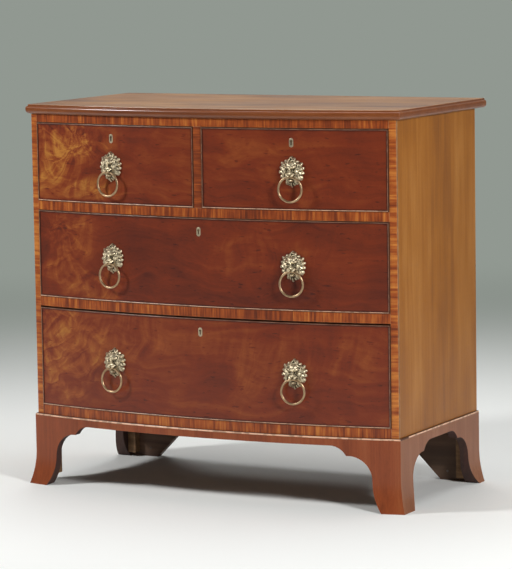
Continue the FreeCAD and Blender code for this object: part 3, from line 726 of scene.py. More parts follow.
# bead crests are painted pale as a highlight, full on the lowest strip and a fifth as strong above
UPPER_STRIP_WEAR_AND_HIGHLIGHT, LOWEST_STRIP, FRONT_STRIP = 0.2, 4 * MM, 20 * MM
BODY_OF = {node: body for body, nodes in frame["record"]["behaviour"]["bodies"].items()
           for node in nodes}


def plain(piece):
    """Bakes the modifiers into the mesh and takes them off."""
    evaluated = piece.evaluated_get(bpy.context.evaluated_depsgraph_get())
    mesh = bpy.data.meshes.new_from_object(evaluated)
    piece.modifiers.clear()
    mesh.name = piece.name
    piece.data = mesh
    return piece


def from_bow(point):
    """The way from the middle of the bow to a point, level."""
    return Vector((point.x, point.y - BOW_MIDDLE, 0))


def mark_arrises(piece, on_bow, share):
    """Marks the eased edges: faces that look along none of the board's own three directions."""
    values = []
    for face in piece.data.polygons:
        normal = face.normal
        radial = from_bow(face.center).normalized() if on_bow else Vector((0, 1, 0))
        across = Vector((-radial.y, radial.x, 0))
        square = max(abs(normal.dot(radial)), abs(normal.dot(across)), abs(normal.z))
        values.append(share if square < SQUARE else 0.0)
    piece.data.attributes.new("arris", "FLOAT", "FACE").data.foreach_set("value", values)


def mark_crest(piece, within=0.93):
    """Marks the proudest round of a bead: wear and a painted highlight, brightest on its lowest strip.
    """
    values = []
    lowest = min(vertex.co.z for vertex in piece.data.vertices)
    for face in piece.data.polygons:
        centre = face.center
        wear_and_highlight_share = 1.0 if centre.z < lowest + LOWEST_STRIP else UPPER_STRIP_WEAR_AND_HIGHLIGHT
        on_front = centre.y < CORNER_Y + FRONT_STRIP
        outward = from_bow(centre) if on_front else Vector((centre.x, 0, 0))
        values.append(wear_and_highlight_share * (face.normal.dot(outward.normalized()) > within))
    piece.data.attributes["arris"].data.foreach_set("value", values)


def finished(piece, node, *materials, slot, angle=32, on_bow=False, worn=1.0):
    """Last steps of a piece that stands for a node of the frame."""
    plain(piece)
    mesh = piece.data
    if materials:
        mesh.materials.clear()
        for material in materials:
            mesh.materials.append(material)
    mesh.shade_smooth()
    mesh.set_sharp_from_angle(angle=math.radians(angle))
    shading = piece.modifiers.new("broad_faces_lead", "WEIGHTED_NORMAL")
    shading.mode, shading.weight, shading.keep_sharp = "FACE_AREA", FACE_LEAD, True
    plain(piece)
    mark_arrises(piece, on_bow, worn)
    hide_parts(node)
    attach(piece, BODY_OF[node])
    return piece


print("finishing steps are ready for", len(BODY_OF), "nodes")

# %% [markdown]
# ## Bending to the bow
#
# Rails, drawer fronts, stiles and beads are all made flat, as if the chest had a straight front.
# A Geometry Nodes tree then bends them: a point at some depth behind the flat front goes to the
# same depth behind the cylinder. Points deeper than a limit stay where they are, which gives the
# rails their straight back edge. The tree also cuts joints with a tool object and lays the veneer:
# whatever lies within the veneer's thickness of the cylinder gets the show wood.

# %% The tree that bends, cuts and veneers
class Tree(Wiring):
    """A Geometry Nodes tree with named inputs and one geometry as its result."""

    def __init__(self, name, result, **inputs):
        super().__init__(bpy.data.node_groups.new(name, "GeometryNodeTree"))
        self.identifiers = {}
        for kind, titles in inputs.items():
            for title in titles:
                self.add_socket(title, kind, "INPUT")
        self.add_socket(result, "Geometry", "OUTPUT")
        given = self.tree.nodes.new("NodeGroupInput").outputs
        self.given = {socket.name: Signal(self, socket) for socket in given}
        self.end = self.tree.nodes.new("NodeGroupOutput")

    def add_socket(self, title, kind, way):
        made = self.tree.interface.new_socket(name=title, in_out=way, socket_type="NodeSocket" + kind)
        self.identifiers[title] = made.identifier

    def position(self):
        """x, y and z of the points as they are at this place in the tree."""
        return self.parts(self.node("GeometryNodeInputPosition"))

    def cut_if(self, wanted, whole, tool):
        """The whole shape, or what a tool leaves of it where wanted is true."""
        cut = self.node("GeometryNodeMeshBoolean", {"operation": "DIFFERENCE", "solver": "EXACT"},
                        {0: whole, 1: tool})
        return self.node("GeometryNodeSwitch", {"input_type": "GEOMETRY"},
                         {"Switch": wanted, "False": whole, "True": cut})

    def made_real(self, geometry, material):
        """Real geometry in place of instances, in its material."""
        real = self.node("GeometryNodeRealizeInstances", None, {"Geometry": geometry})
        return self.node("GeometryNodeSetMaterial", None, {"Geometry": real, "Material": material})

    def set_on(self, piece, values):
        """Adds the tree as the piece's last modifier, its inputs set by their identifiers."""
        modifier = piece.modifiers.new(self.tree.name, "NODES")
        modifier.node_group = self.tree
        for title, value in values.items():
            modifier[self.identifiers[title]] = value


def bow_tree():
    bow = Tree("bend_to_the_bow", "Bowed piece", Geometry=["Flat piece"],
               Float=["Corner y", "Middle of bow y", "Bow radius", "Bend to depth", "Veneer"],
               Bool=["Cut joints"], Object=["Tool"], Material=["Core wood", "Show wood"])
    given = bow.given
    x, y, z = bow.position()
    depth = y - given["Corner y"]
    radius = given["Bow radius"] - depth
    bowed = given["Middle of bow y"] - bow.maths("SQRT", radius * radius - x * x)
    near = bow.maths("LESS_THAN", depth, given["Bend to depth"])
    bent = bow.node("GeometryNodeSetPosition", None,
                    {"Geometry": given["Flat piece"],
                     "Position": bow.vector(x, y + near * (bowed - y), z)})
    tool = bow.node("GeometryNodeObjectInfo", {"transform_space": "RELATIVE"},
                    {"Object": given["Tool"]}, output="Geometry")
    shaped = bow.cut_if(given["Cut joints"], bent, tool)
    cored = bow.made_real(shaped, given["Core wood"])
    x, y = bow.position()[:2]
    behind = given["Middle of bow y"] - y
    away = bow.maths("SQRT", x * x + behind * behind)
    shown = bow.maths("GREATER_THAN", away, given["Bow radius"] - given["Veneer"])
    veneered = bow.node("GeometryNodeSetMaterial", None,
                        {"Geometry": cored, "Selection": shown, "Material": given["Show wood"]})
    bow.feed(bow.end, {0: veneered})
    return bow


BOW_TREE = bow_tree()


def bend_to_bow(piece, core, show, tool=None, to_depth=1.0, veneer=0.9 * MM):
    piece.data.materials.append(core)
    values = {"Corner y": CORNER_Y, "Middle of bow y": BOW_MIDDLE, "Bow radius": BOW_RADIUS,
              "Bend to depth": to_depth, "Veneer": veneer, "Cut joints": tool is not None,
              "Core wood": core, "Show wood": show}
    if tool is not None:
        values["Tool"] = tool
    BOW_TREE.set_on(piece, values)
    return piece


print("the bow tree has", len(BOW_TREE.tree.nodes), "nodes")

# %% [markdown]
# ## Finishes of the show wood
#
# With the finish functions ready, the show woods are one line each. The rails share one finish;
# the uprights have their own, because their veneer is laid the other way.

# %% Show woods
RAIL_VENEER = crossbanded("rail_crossbanding", "x", 0.43, lift=0.03)
STILE_VENEER = crossbanded("stile_crossbanding", "z", 1.7, strip=0.17, lift=0.20)
SIDE_WOOD = straight("side_mahogany", "z", 3.0, SIDE_PALETTE, streak=0.65, clouds=0.9)
TOP_WOOD = straight("top_mahogany", "x", 6.0, TOP_PALETTE, streak=1.2, clouds=1.8, gloss=0.04,
                    specular=0.10)
EDGE_WOOD = straight("top_edge_mahogany", "x", 7.5, EDGE_PALETTE, streak=0.7, clouds=0.5, gloss=0.75)
DIVIDER_VENEER = crossbanded("divider_crossbanding", "z", 3.2, strip=0.2, lift=-0.12)
PLINTH_WOOD = straight("plinth_mahogany", "z", 9.0, PLINTH_PALETTE, streak=0.7, clouds=0.5)
PLINTH_SIDE_WOOD = straight("plinth_side_mahogany", "z", 4.0, PLINTH_SIDE_PALETTE, streak=0.6,
                            clouds=0.5)
# the beads' crests turn to the crest colour: wear and a painted highlight
BEAD_WOOD = straight("cockbead_mahogany", "x", 9.0, BEAD_PALETTE, streak=0.4, clouds=0.5, gloss=0.45,
                     rubbed=BEAD_CREST_WEAR_AND_HIGHLIGHT, rub=1.4)
print("nine show woods")

# %% [markdown]
# ## The top board
#
# The top is one board whose edge carries a moulding on three sides: a rounded nose, a small step
# over it, and a flat field. The back edge is square, because it faces the wall. So the board is a
# stack of outlines. Each is the same three sided line, drawn in from the edge by as much as the
# moulding needs at that height, and the skin joins them.

# %% Make the top board
TOP_LOW, TOP_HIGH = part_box("top_board")
NOSE_LOWER, NOSE_UPPER = 8.5 * MM, 5.5 * MM
STEP_IN, STEP_HEIGHT = 4.5 * MM, 3.5 * MM
TOP_CORNER = 3.0 * MM
TOP_ARRIS, TOP_FIELD = 0.7 * MM, 0.1 * MM
ARC_STEPS, CORNER_STEPS = 6, 5
SIDE_STATIONS, FRONT_STATIONS = 8, 100


def rounded_corner(before, corner, after):
    """A short curve that cuts a corner off an outline."""
    return [before * (1 - t) ** 2 + corner * (2 * t * (1 - t)) + after * t ** 2
            for t in even(0, 1, CORNER_STEPS)]


def three_sides(half, out, back, corner):
    """Outline (x, y) from the back of the right side, along the bow, to the back of the left."""
    turn_y = bow_y(half, out)
    right = [Vector((half, y)) for y in even(back, turn_y + corner, SIDE_STATIONS)]
    start = Vector((half - corner, bow_y(half - corner, out)))
    right += rounded_corner(right.pop(), Vector((half, turn_y)), start)
    front = [Vector((x, bow_y(x, out))) for x in even(start.x, -start.x, FRONT_STATIONS)]
    left = [Vector((-point.x, point.y)) for point in reversed(right)]
    return right[:-1] + front + left[1:]


def top_edge():
    """(inset, height) up the edge of the top board."""
    points = [(NOSE_LOWER * (1 - math.sin(angle)), TOP_LOW.z + NOSE_LOWER * (1 - math.cos(angle)))
              for angle in even(0, math.pi / 2, ARC_STEPS)]
    nose_top = TOP_HIGH.z - STEP_HEIGHT
    meets = math.acos(1 - STEP_IN / NOSE_UPPER)
    points += [(NOSE_UPPER * (1 - math.cos(angle)),
                nose_top - NOSE_UPPER + NOSE_UPPER * math.sin(angle))
               for angle in even(0, meets, ARC_STEPS)]
    for inward, down in ((0, 1), (0.3, 0.3), (1, 0)):
        points.append((STEP_IN + inward * TOP_ARRIS, TOP_HIGH.z - down * TOP_ARRIS))
    return points


def make_top():
    half, out = TOP_HIGH.x, CORNER_Y - TOP_LOW.y - BOW
    outlines = [[(point.x, point.y, z)
                 for point in three_sides(half - inset, out - inset, TOP_HIGH.y, TOP_CORNER)]
                for inset, z in top_edge()]
    top = skinned("top_board_moulded", [outlines])
    finished(top, "top_board", EDGE_WOOD, TOP_WOOD, slot="top_mahogany", angle=25, worn=0)
    field = TOP_HIGH.z - TOP_FIELD
    for face in top.data.polygons:
        face.material_index = int(face.center.z > field)
    # a pale line along the upper arris: wear and a painted highlight
    arris = [float(TOP_HIGH.z - TOP_ARRIS < face.center.z < field) for face in top.data.polygons]
    top.data.attributes["arris"].data.foreach_set("value", arris)
    return top


print("top board:", len(make_top().data.polygons), "faces")

# %% [markdown]
# ## Rails, stiles and the divider
#
# A drawer rail is a pine board whose front edge is faced with crossbanding, its grain running up
# and down. Its ends are let into the side boards behind the stiles, so the rail is cut from three
# blocks. Under the rail over a drawer is a pocket for the bolt of that drawer's lock.

# %% Make the rails
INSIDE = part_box("drawer_middle_cockbead")[1].x + 0.8 * MM
RAIL_END = 25 * MM
VENEER = 0.9 * MM
SHOWN_VENEER = 1.1 * VENEER
RAIL_ARRIS, UPRIGHT_ARRIS, FRONT_ARRIS = 0.35 * MM, 0.6 * MM, 0.25 * MM
BOLT_POCKET = (32 * MM, 10 * MM, 10 * MM)
POCKET_DEPTH = 11.5 * MM
RAILS = {"top_rail": ("top_left", "top_right"), "upper_drawer_rail": ("middle",),
         "lower_drawer_rail": ("bottom",), "bottom_rail": ()}


def block_loops(place, x, y, z):
    """Both ends of a block, x, y and z being pairs, moved by a matrix."""
    return [[place @ Vector((a, b, c)) for a, c in ((x[0], z[0]), (x[1], z[0]), (x[1], z[1]),
                                                    (x[0], z[1]))] for b in y]


def drawer_middle(name):
    low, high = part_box("drawer_%s_front" % name)
    return (low.x + high.x) / 2


def make_rail(node, drawers):
    low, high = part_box(node)
    bm = bmesh.new()
    shoulder = high.y - RAIL_END
    blocks(bm, spread([low.x, -INSIDE, INSIDE, high.x]),
           [CORNER_Y, CORNER_Y + VENEER, shoulder, high.y], [low.z, high.z],
           lambda x, y, z: abs(x) < INSIDE or y > shoulder)
    rail = bevel(as_object(bm, node + "_banded"), RAIL_ARRIS)
    width, depth, height = BOLT_POCKET
    pockets = [block_loops(front_place(drawer_middle(name), low.z), (-width / 2, width / 2),
                           (POCKET_DEPTH, POCKET_DEPTH + depth), (-height, height))
               for name in drawers]
    tool = skinned("joint_tool", pockets) if pockets else None
    bend_to_bow(rail, PINE, RAIL_VENEER, tool, to_depth=2 * VENEER, veneer=SHOWN_VENEER)
    finished(rail, node, slot="crossbanding", on_bow=True)
    if tool:
        bpy.data.objects.remove(tool)
    return rail


for node, drawers in RAILS.items():
    print(node, len(make_rail(node, drawers).data.polygons), "faces")

# %% [markdown]
# The stiles and the divider are short blocks that follow the bow all the way through.

# %% Make the stiles and the divider
STILE_DEPTH, DIVIDER_DEPTH = 6 * MM, 38 * MM
ACROSS_STEP, UP_STEP = 4 * MM, 60 * MM


def make_upright(node, name, spans, depth, finish):
    low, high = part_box(node)
    bm = bmesh.new()
    for left, right in spans:
        blocks(bm, spread([left, right], ACROSS_STEP),
               [CORNER_Y, CORNER_Y + VENEER, CORNER_Y + depth],
               spread([low.z, high.z], UP_STEP), lambda x, y, z: True)
    upright = bevel(as_object(bm, name), UPRIGHT_ARRIS)
    bend_to_bow(upright, PINE, finish, veneer=SHOWN_VENEER)
    return finished(upright, node, slot="crossbanding", on_bow=True)


DIVIDER_LOW, DIVIDER_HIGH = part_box("drawer_divider")
make_upright("stiles", "stiles_banded", ((-HALF, -INSIDE), (INSIDE, HALF)), STILE_DEPTH,
             STILE_VENEER)
make_upright("drawer_divider", "divider_banded", ((DIVIDER_LOW.x, DIVIDER_HIGH.x),), DIVIDER_DEPTH,
             DIVIDER_VENEER)
print("stiles stand from x = %.3f to %.3f m" % (INSIDE, HALF))

# %% [markdown]
# ## Flat boards
#
# Side boards, drawer linings, dustboards, the back and the blocks have no moulding, and the frame
# already gives them every housing and dovetail. They are copied, their loose triangles merged
# back into whole faces, and their arrises eased. Rebuilding their joints by hand would only risk
# a worse fit.

# %% Ease the flat boards
SAME_PLACE, SAME_PLANE = 0.002 * MM, math.radians(1)
SIDE_ARRIS, ROUGH_ARRIS, LINING_ARRIS = 0.8 * MM, 1.0 * MM, 0.3 * MM


def eased(node, name, finish, slot, width=0.5 * MM, worn=1.0):
    bm = bmesh.new()
    bm.from_mesh(frame["nodes"][node].data)
    bmesh.ops.remove_doubles(bm, verts=bm.verts, dist=SAME_PLACE)
    bmesh.ops.dissolve_limit(bm, angle_limit=SAME_PLANE, verts=bm.verts, edges=bm.edges)
    board = bevel(as_object(bm, name), width, angle=50)
    return finished(board, node, finish, slot=slot, worn=worn)


eased("carcase_sides", "side_boards", SIDE_WOOD, "side_mahogany", SIDE_ARRIS)
for node in ("dustboards", "partition_board", "drawer_stops", "foot_blocks"):
    eased(node, node + "_eased", PINE, "pine")
eased("bottom_board", "bottom_board_eased", STAINED, "pine")
eased("back_boards", "back_boards_eased", BACK_PINE, "pine", ROUGH_ARRIS)
eased("rear_brackets", "rear_brackets_eased", STAINED, "pine", ROUGH_ARRIS)
for drawer in DRAWERS:
    for part, lining, finish in (("sides", "linings", OAK), ("back", "back_lining", OAK_ACROSS),
                                 ("bottom", "bottom_lining", OAK_ACROSS)):
        eased("drawer_%s_%s" % (drawer, part), "drawer_%s_%s" % (drawer, lining), finish,
              "oak_lining", LINING_ARRIS, 0.5)
print("flat boards are eased")

# %% [markdown]
# ## The plinth and its splayed feet
#
# The plinth is three boards mitred at the front corners. Each is cut out below to leave the
# bracket feet, and the lowest part of each foot splays outward. Because the cut-out never turns
# back under itself, the board can be built as a row of upright columns: the outline gives the
# foot of each column, and the splay moves its points out by their height. The last columns
# before a corner are stretched so that they end on the mitre.

# %% Outline of the cut-out
PLINTH_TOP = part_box("plinth_front")[1].z
PLINTH_OUT, PLINTH_THICK = 5 * MM, 20 * MM
FLARE, FLARE_START = 13 * MM, 75 * MM
FRONT_APRON, SIDE_APRON = 141 * MM, 137 * MM
LEG, KNEE, CUSP = 61 * MM, 52 * MM, 5 * MM
STEP_RUN, STEP_RISE = 36 * MM, 21 * MM
TOE_FRONT, TOE_SIDE, TOE_REAR = 37 * MM, 42 * MM, 28 * MM
LEG_STEPS, KNEE_STEPS, TOE_STEP = 9, 14, 8 * MM


def foot_outline(toe, apron):
    """(distance from the corner, height) from the corner of a foot to the apron's underside."""
    knee_z = apron - STEP_RISE - KNEE
    leg_radius = (knee_z ** 2 + (LEG - toe) ** 2) / (2 * (LEG - toe))
    step_radius = (STEP_RUN ** 2 + STEP_RISE ** 2) / (2 * STEP_RISE)
    cusp = LEG + KNEE + CUSP

    def falling(start):
        return [start * (1 - number / LEG_STEPS) for number in range(1, LEG_STEPS + 1)]

    line = [(run, 0.0) for run in spread([0.0, toe], TOE_STEP)]
    line += [(LEG - leg_radius * (1 - math.cos(angle)), knee_z - leg_radius * math.sin(angle))
             for angle in falling(math.asin(knee_z / leg_radius))]
    line += [(LEG + KNEE * (1 - math.cos(angle)), knee_z + KNEE * math.sin(angle))
             for angle in even(0, math.pi / 2, KNEE_STEPS)[1:]]
    line.append((cusp, knee_z + KNEE))
    line += [(cusp + STEP_RUN - step_radius * math.sin(angle),
              apron - step_radius * (1 - math.cos(angle)))
             for angle in falling(math.asin(STEP_RUN / step_radius))]
    return line


def arch_outline(low, high, toe_low, toe_high, apron, step):
    """The underside of a board between two feet whose corners are at low and high."""
    up = [(low + run, z) for run, z in foot_outline(toe_low, apron)]
    down = [(high - run, z) for run, z in reversed(foot_outline(toe_high, apron))]
    level = [(run, apron) for run in spread([up[-1][0], down[0][0]], step)]
    return up + level[1:-1] + down


def splay(z):
    """How far the outside of the plinth stands out of the carcase at a height."""
    radius = (FLARE_START ** 2 + FLARE ** 2) / (2 * FLARE)
    fall = max(0.0, FLARE_START - z)
    return PLINTH_OUT + radius - math.sqrt(radius ** 2 - fall ** 2)


print("the feet splay %.0f mm" % ((splay(0) - PLINTH_OUT) / MM))

# %% [markdown]
# The rows of points up a column lie closer where the splay bends the board. One function builds
# every board from its outline; what differs is where it puts a point, for the bowed front and for
# the straight sides.

# %% Boards made of columns
PLINTH_ARRIS, SIDE_STEP = 0.7 * MM, 40 * MM
LOOKS_OUT, LOOKS_UP = 0.35, 0.5
ROWS = [0.0, 0.03, 0.09, 0.16, 0.23, 0.30, 0.37, 0.44, 0.52, 0.62, 0.75, 0.9, 0.97, 1.0]


def column_board(name, outline, place):
    """place(run, height, outside) gives a point; outside is False on the inner face."""
    bm = bmesh.new()
    grids = []
    for outside in (True, False):
        grids.append([[bm.verts.new(place(run, low + (PLINTH_TOP - low) * row, outside))
                       for row in ROWS] for run, low in outline])
    for grid in grids:
        for column, following in zip(grid, grid[1:]):
            for row in range(len(ROWS) - 1):
                bm.faces.new((column[row], following[row], following[row + 1], column[row + 1]))
    outer, inner = grids
    for number in range(len(outline) - 1):
        for row in (0, -1):
            bm.faces.new((outer[number][row], outer[number + 1][row],
                          inner[number + 1][row], inner[number][row]))
    for number in (0, -1):
        for row in range(len(ROWS) - 1):
            bm.faces.new((outer[number][row], outer[number][row + 1],
                          inner[number][row + 1], inner[number][row]))
    return as_object(bm, name)


def front_point(run, z, outside):
    """Stretches the run before the mitre and follows the bow."""
    out = splay(z) if outside else PLINTH_OUT - PLINTH_THICK
    corner, fixed = HALF + PLINTH_OUT, HALF + PLINTH_OUT - TOE_FRONT
    beyond = max(0.0, abs(run) - fixed) / (corner - fixed)
    x = math.copysign(min(abs(run), fixed) + beyond * (HALF + out - fixed), run)
    return Vector((x, bow_y(x, out), z))


def side_point(run, z, outside):
    out = splay(z) if outside else PLINTH_OUT - PLINTH_THICK
    start = bow_y(HALF + PLINTH_OUT, PLINTH_OUT)
    fixed = start + TOE_SIDE
    before = max(0.0, fixed - run) / TOE_SIDE
    y = max(run, fixed) - before * (fixed - bow_y(HALF + out, out))
    return Vector((HALF + out, y, z))


def shade_inside(piece, outward):
    """Faces that look neither out nor up get dark wood: unpolished, and painted shade."""
    for face in piece.data.polygons:
        looks = face.normal.dot(outward(face.center).normalized())
        face.material_index = int(looks < LOOKS_OUT and face.normal.z < LOOKS_UP)


def dressed(board, node, wood, outward, **more):
    """Eases a board of the plinth and darkens the faces that don't look outward."""
    bevel(board, PLINTH_ARRIS, angle=40)
    finished(board, node, wood, SHADED, slot="plinth_mahogany", angle=40, worn=0, **more)
    shade_inside(board, outward)
    return board


def make_plinth():
    corner = HALF + PLINTH_OUT
    outline = arch_outline(-corner, corner, TOE_FRONT, TOE_FRONT, FRONT_APRON, SEGMENT)
    front = dressed(column_board("plinth_front_board", outline, front_point), "plinth_front",
                    PLINTH_WOOD, from_bow, on_bow=True)
    outline = arch_outline(bow_y(corner, PLINTH_OUT), BACK_Y, TOE_SIDE, TOE_REAR, SIDE_APRON,
                           SIDE_STEP)
    sides = column_board("plinth_side_boards", outline, side_point)
    bm = bmesh.new()
    bm.from_mesh(sides.data)
    other = bmesh.ops.duplicate(bm, geom=bm.verts[:] + bm.edges[:] + bm.faces[:])["geom"]
    bmesh.ops.scale(bm, vec=(-1, 1, 1), verts=[v for v in other if isinstance(v, bmesh.types.BMVert)])
    bmesh.ops.recalc_face_normals(bm, faces=bm.faces)
    bm.to_mesh(sides.data)
    bm.free()
    dressed(sides, "plinth_sides", PLINTH_SIDE_WOOD, lambda centre: Vector((centre.x, 0, 0)))
    return front, sides


for board in make_plinth():
    print(board.name, len(board.data.polygons), "faces")

# %% [markdown]
# ## The bead on the plinth
#
# A thin bead hides the joint between carcase and plinth. It has one cross-section all round, so
# it is a skin too, in three lengths whose ends lie on the mitres: since each point of the section
# follows its own line, and the lines meet at the corners, the mitres come out by themselves.

# %% Make the bead
BEAD_LOW, BEAD_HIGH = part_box("plinth_bead")
BEAD_ROUND, BEAD_ARRIS = 2.5 * MM, 0.3 * MM
MITRE_GAP = 0.06 * MM
# steps along a bead, as shares of half the front and of a side
FRONT_PART, SIDE_PART = 0.02, 0.1


def bead_section():
    """(out of the carcase, height) round the section, the upper outer corner rounded."""
    section = [(0.0, BEAD_HIGH.z), (0.0, BEAD_LOW.z), (PLINTH_OUT - BEAD_ARRIS, BEAD_LOW.z),
               (PLINTH_OUT, BEAD_LOW.z + BEAD_ARRIS)]
    return section + [(PLINTH_OUT - BEAD_ROUND * (1 - math.cos(angle)),
                       BEAD_HIGH.z - BEAD_ROUND * (1 - math.sin(angle)))
                      for angle in even(0, math.pi / 2, ARC_STEPS)]


def bead_lengths():
    """Loops along the front and along the two sides."""
    section = bead_section()

    def front(share, out, z):
        x = share * (HALF + out - MITRE_GAP)
        return x, bow_y(x, out), z

    def side(share, out, z):
        start = bow_y(HALF + out, out) + MITRE_GAP
        return way * (HALF + out), start + share * (BACK_Y - start), z

    lengths = [swept(section, spread([-1.0, 1.0], FRONT_PART), front)]
    for way in (-1, 1):
        lengths.append(swept(section, spread([0.0, 1.0], SIDE_PART), side))
    return lengths


bead = finished(skinned("plinth_bead_run", bead_lengths()), "plinth_bead", BEAD_WOOD,
                slot="cockbead_wood", angle=40)
# the bead's crest is painted pale: wear and a painted highlight
mark_crest(bead, 0.7)
print("plinth bead:", len(bead.data.polygons), "faces")

# %% [markdown]
# ## Drawer fronts
#
# A drawer front is a pine board veneered with flame mahogany. Round its edge is a rebate that the
# cockbead sits in, behind it a groove for the drawer bottom, and at each end sockets for the
# dovetails of the sides. The rebate and the groove are cells left out of the block. The sockets,
# the lock's recess, the keyhole and the holes for the handles' posts are cut by a tool after the
# board is bent, because those pieces don't bend.

# %% Measures of a drawer front
FRONT_THICK, FRONT_VENEER = 22 * MM, 0.5 * MM
BEAD_WIDE, BEAD_DEEP, BEAD_PROUD = 3 * MM, 10 * MM, 2 * MM
LINING = 10 * MM
GROOVE_HIGH, GROOVE_THICK = 8 * MM, 6 * MM
GROOVE_START, GROOVE_SIDE = 17 * MM, 6 * MM
LAP, TAIL_PITCH, TAIL_SHARE, TAIL_SPLAY, TAIL_OVERLAP = 10 * MM, 42 * MM, 0.36, 2.5 * MM, 3 * MM
LOCK_SIZE, LOCK_PROUD = (60 * MM, 10.5 * MM, 42 * MM), 0.5 * MM
PAST = 2 * MM
KEY_DROP = 30 * MM
PLATE_WIDE, PLATE_TALL, PLATE_PROUD, PLATE_THICK = 9.8 * MM, 20 * MM, 0.3 * MM, 2 * MM
KEYHOLE_RADIUS, KEYHOLE_SLOT = 2.2 * MM, (2.2 * MM, 8 * MM)
HANDLE_X = 223 * MM
POST_HOLE = 2.6 * MM
HOLE_POINTS, TINY = 48, 1e-9
MASK_Z = {"top_left": 725.5 * MM, "top_right": 725.5 * MM, "middle": 523.5 * MM,
          "bottom": 292.0 * MM}


def drawer_sizes(name):
    """Left, right, low and high of a drawer front, cockbead included."""
    low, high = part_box("drawer_%s_cockbead" % name)
    return low.x, high.x, low.z, high.z


def handle_xs(name):
    middle = drawer_middle(name)
    return [math.copysign(HANDLE_X, middle)] if name.startswith("top") else [-HANDLE_X, HANDLE_X]


for name in DRAWERS:
    left, right, low, high = drawer_sizes(name)
    print(name, "front: %.1f by %.1f mm" % ((right - left) / MM, (high - low) / MM))

# %% [markdown]
# A hole is a closed outline drawn twice, before and behind the board. Most outlines go round a
# middle at even angles, and only how far out the line lies changes with the angle, so circles, the
# keyhole and the keyhole plate come from one function.

# %% Sockets and holes
def tail_sockets(x0, x1, low, high):
    """Loops of the dovetail sockets for a side board between x0 and x1."""
    count = max(3, int((high - low) // TAIL_PITCH))
    pitch = (high - low) / count
    middle_x = (x0 + x1) / 2
    shoulder = bow_y(middle_x, -FRONT_THICK)
    past = 1 * MM if middle_x > 0 else -1 * MM
    inner, outer = (x0, x1) if middle_x > 0 else (x1, x0)
    sockets = []
    for number in range(count):
        z = low + (number + 0.5) * pitch
        loops = []
        for x in (inner, outer + past):
            near, far = bow_y(x, LAP - FRONT_THICK), shoulder + TAIL_OVERLAP
            loop = []
            for y, sign in ((near, -1), (far, -1), (far, 1), (near, 1)):
                share = (shoulder + TAIL_OVERLAP - y) / (LAP + 2 * TAIL_OVERLAP)
                loop.append(Vector((x, y, z + sign * (TAIL_SHARE * pitch + TAIL_SPLAY * share))))
            loops.append(loop)
        sockets.append(loops)
    return sockets


def around(away, count, offset=0.0):
    """Points (x, z) at even angles about a middle; away(angle) is how far out each is."""
    angles = [2 * math.pi * (number + offset) / count for number in range(count)]
    return [(away(angle) * math.cos(angle), away(angle) * math.sin(angle)) for angle in angles]


def circle(radius, count=24):
    return around(lambda angle: radius, count)


def ray_to_circle(sine, centre_z, radius):
    """How far a ray from the origin goes before it leaves a circle with its middle at centre_z."""
    up = sine * centre_z
    return up + math.sqrt(max(0.0, radius ** 2 - centre_z ** 2 + up ** 2))


def keyhole_outline(grow=0.0):
    """A round hole over a slot, seen along Y, about the middle of the plate."""
    width, height = KEYHOLE_SLOT
    half, eye_z = width / 2 + grow, height / 2 - 1 * MM
    radius = KEYHOLE_RADIUS + grow
    foot = height - eye_z + grow
    neck = math.atan2(eye_z - math.sqrt(radius ** 2 - half ** 2), half)

    def away(angle):
        cos, sin = math.cos(angle), math.sin(angle)
        if neck < angle < math.pi - neck:
            return ray_to_circle(sin, eye_z, radius)
        down = foot / max(TINY, -sin) if sin < 0 else 1.0
        return min(half / max(TINY, abs(cos)), down)

    return around(away, HOLE_POINTS, 0.5)


def plate_outline(inset=0.0):
    """The stadium shape of the keyhole plate, drawn in by an inset."""
    radius = PLATE_WIDE / 2 - inset
    straight = (PLATE_TALL - PLATE_WIDE) / 2

    def away(angle):
        side = radius / max(TINY, abs(math.cos(angle)))
        if abs(side * math.sin(angle)) <= straight:
            return side
        return ray_to_circle(abs(math.sin(angle)), straight, radius)

    return around(away, HOLE_POINTS, 0.5)


def loop_at(place, outline, y):
    """An outline of (x, z) at a depth y, set in its place on the chest."""
    return [place @ Vector((x, y, z)) for x, z in outline]


def drilled(place, outline, start, end):
    """Both ends of a hole of any outline, cut along Y."""
    return [loop_at(place, outline, y) for y in (start, end)]


def front_tool(name):
    left, right, _, high = drawer_sizes(name)
    lining_low, lining_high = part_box("drawer_%s_sides" % name)
    solids = tail_sockets(left, left + LINING, lining_low.z, lining_high.z)
    solids += tail_sockets(right - LINING, right, lining_low.z, lining_high.z)
    width, thick, height = LOCK_SIZE
    lock = front_place(drawer_middle(name), high)
    solids.append(block_loops(lock, (-width / 2, width / 2),
                              (FRONT_THICK + LOCK_PROUD - thick, FRONT_THICK + PAST),
                              (-height, PAST)))
    key = front_place(drawer_middle(name), high - KEY_DROP)
    solids.append(drilled(key, plate_outline(), -PAST, PLATE_THICK - PLATE_PROUD))
    solids.append(drilled(key, keyhole_outline(), -PAST / 2, FRONT_THICK))
    for x in handle_xs(name):
        solids.append(drilled(front_place(x, MASK_Z[name]), circle(POST_HOLE), -1.5 * PAST,
                              FRONT_THICK + 1.5 * PAST))
    return skinned("joint_tool", solids)


print("the keyhole is cut with", len(keyhole_outline()), "points")

# %% [markdown]
# With the tool ready, a front is made from its cells, bent, cut and veneered.

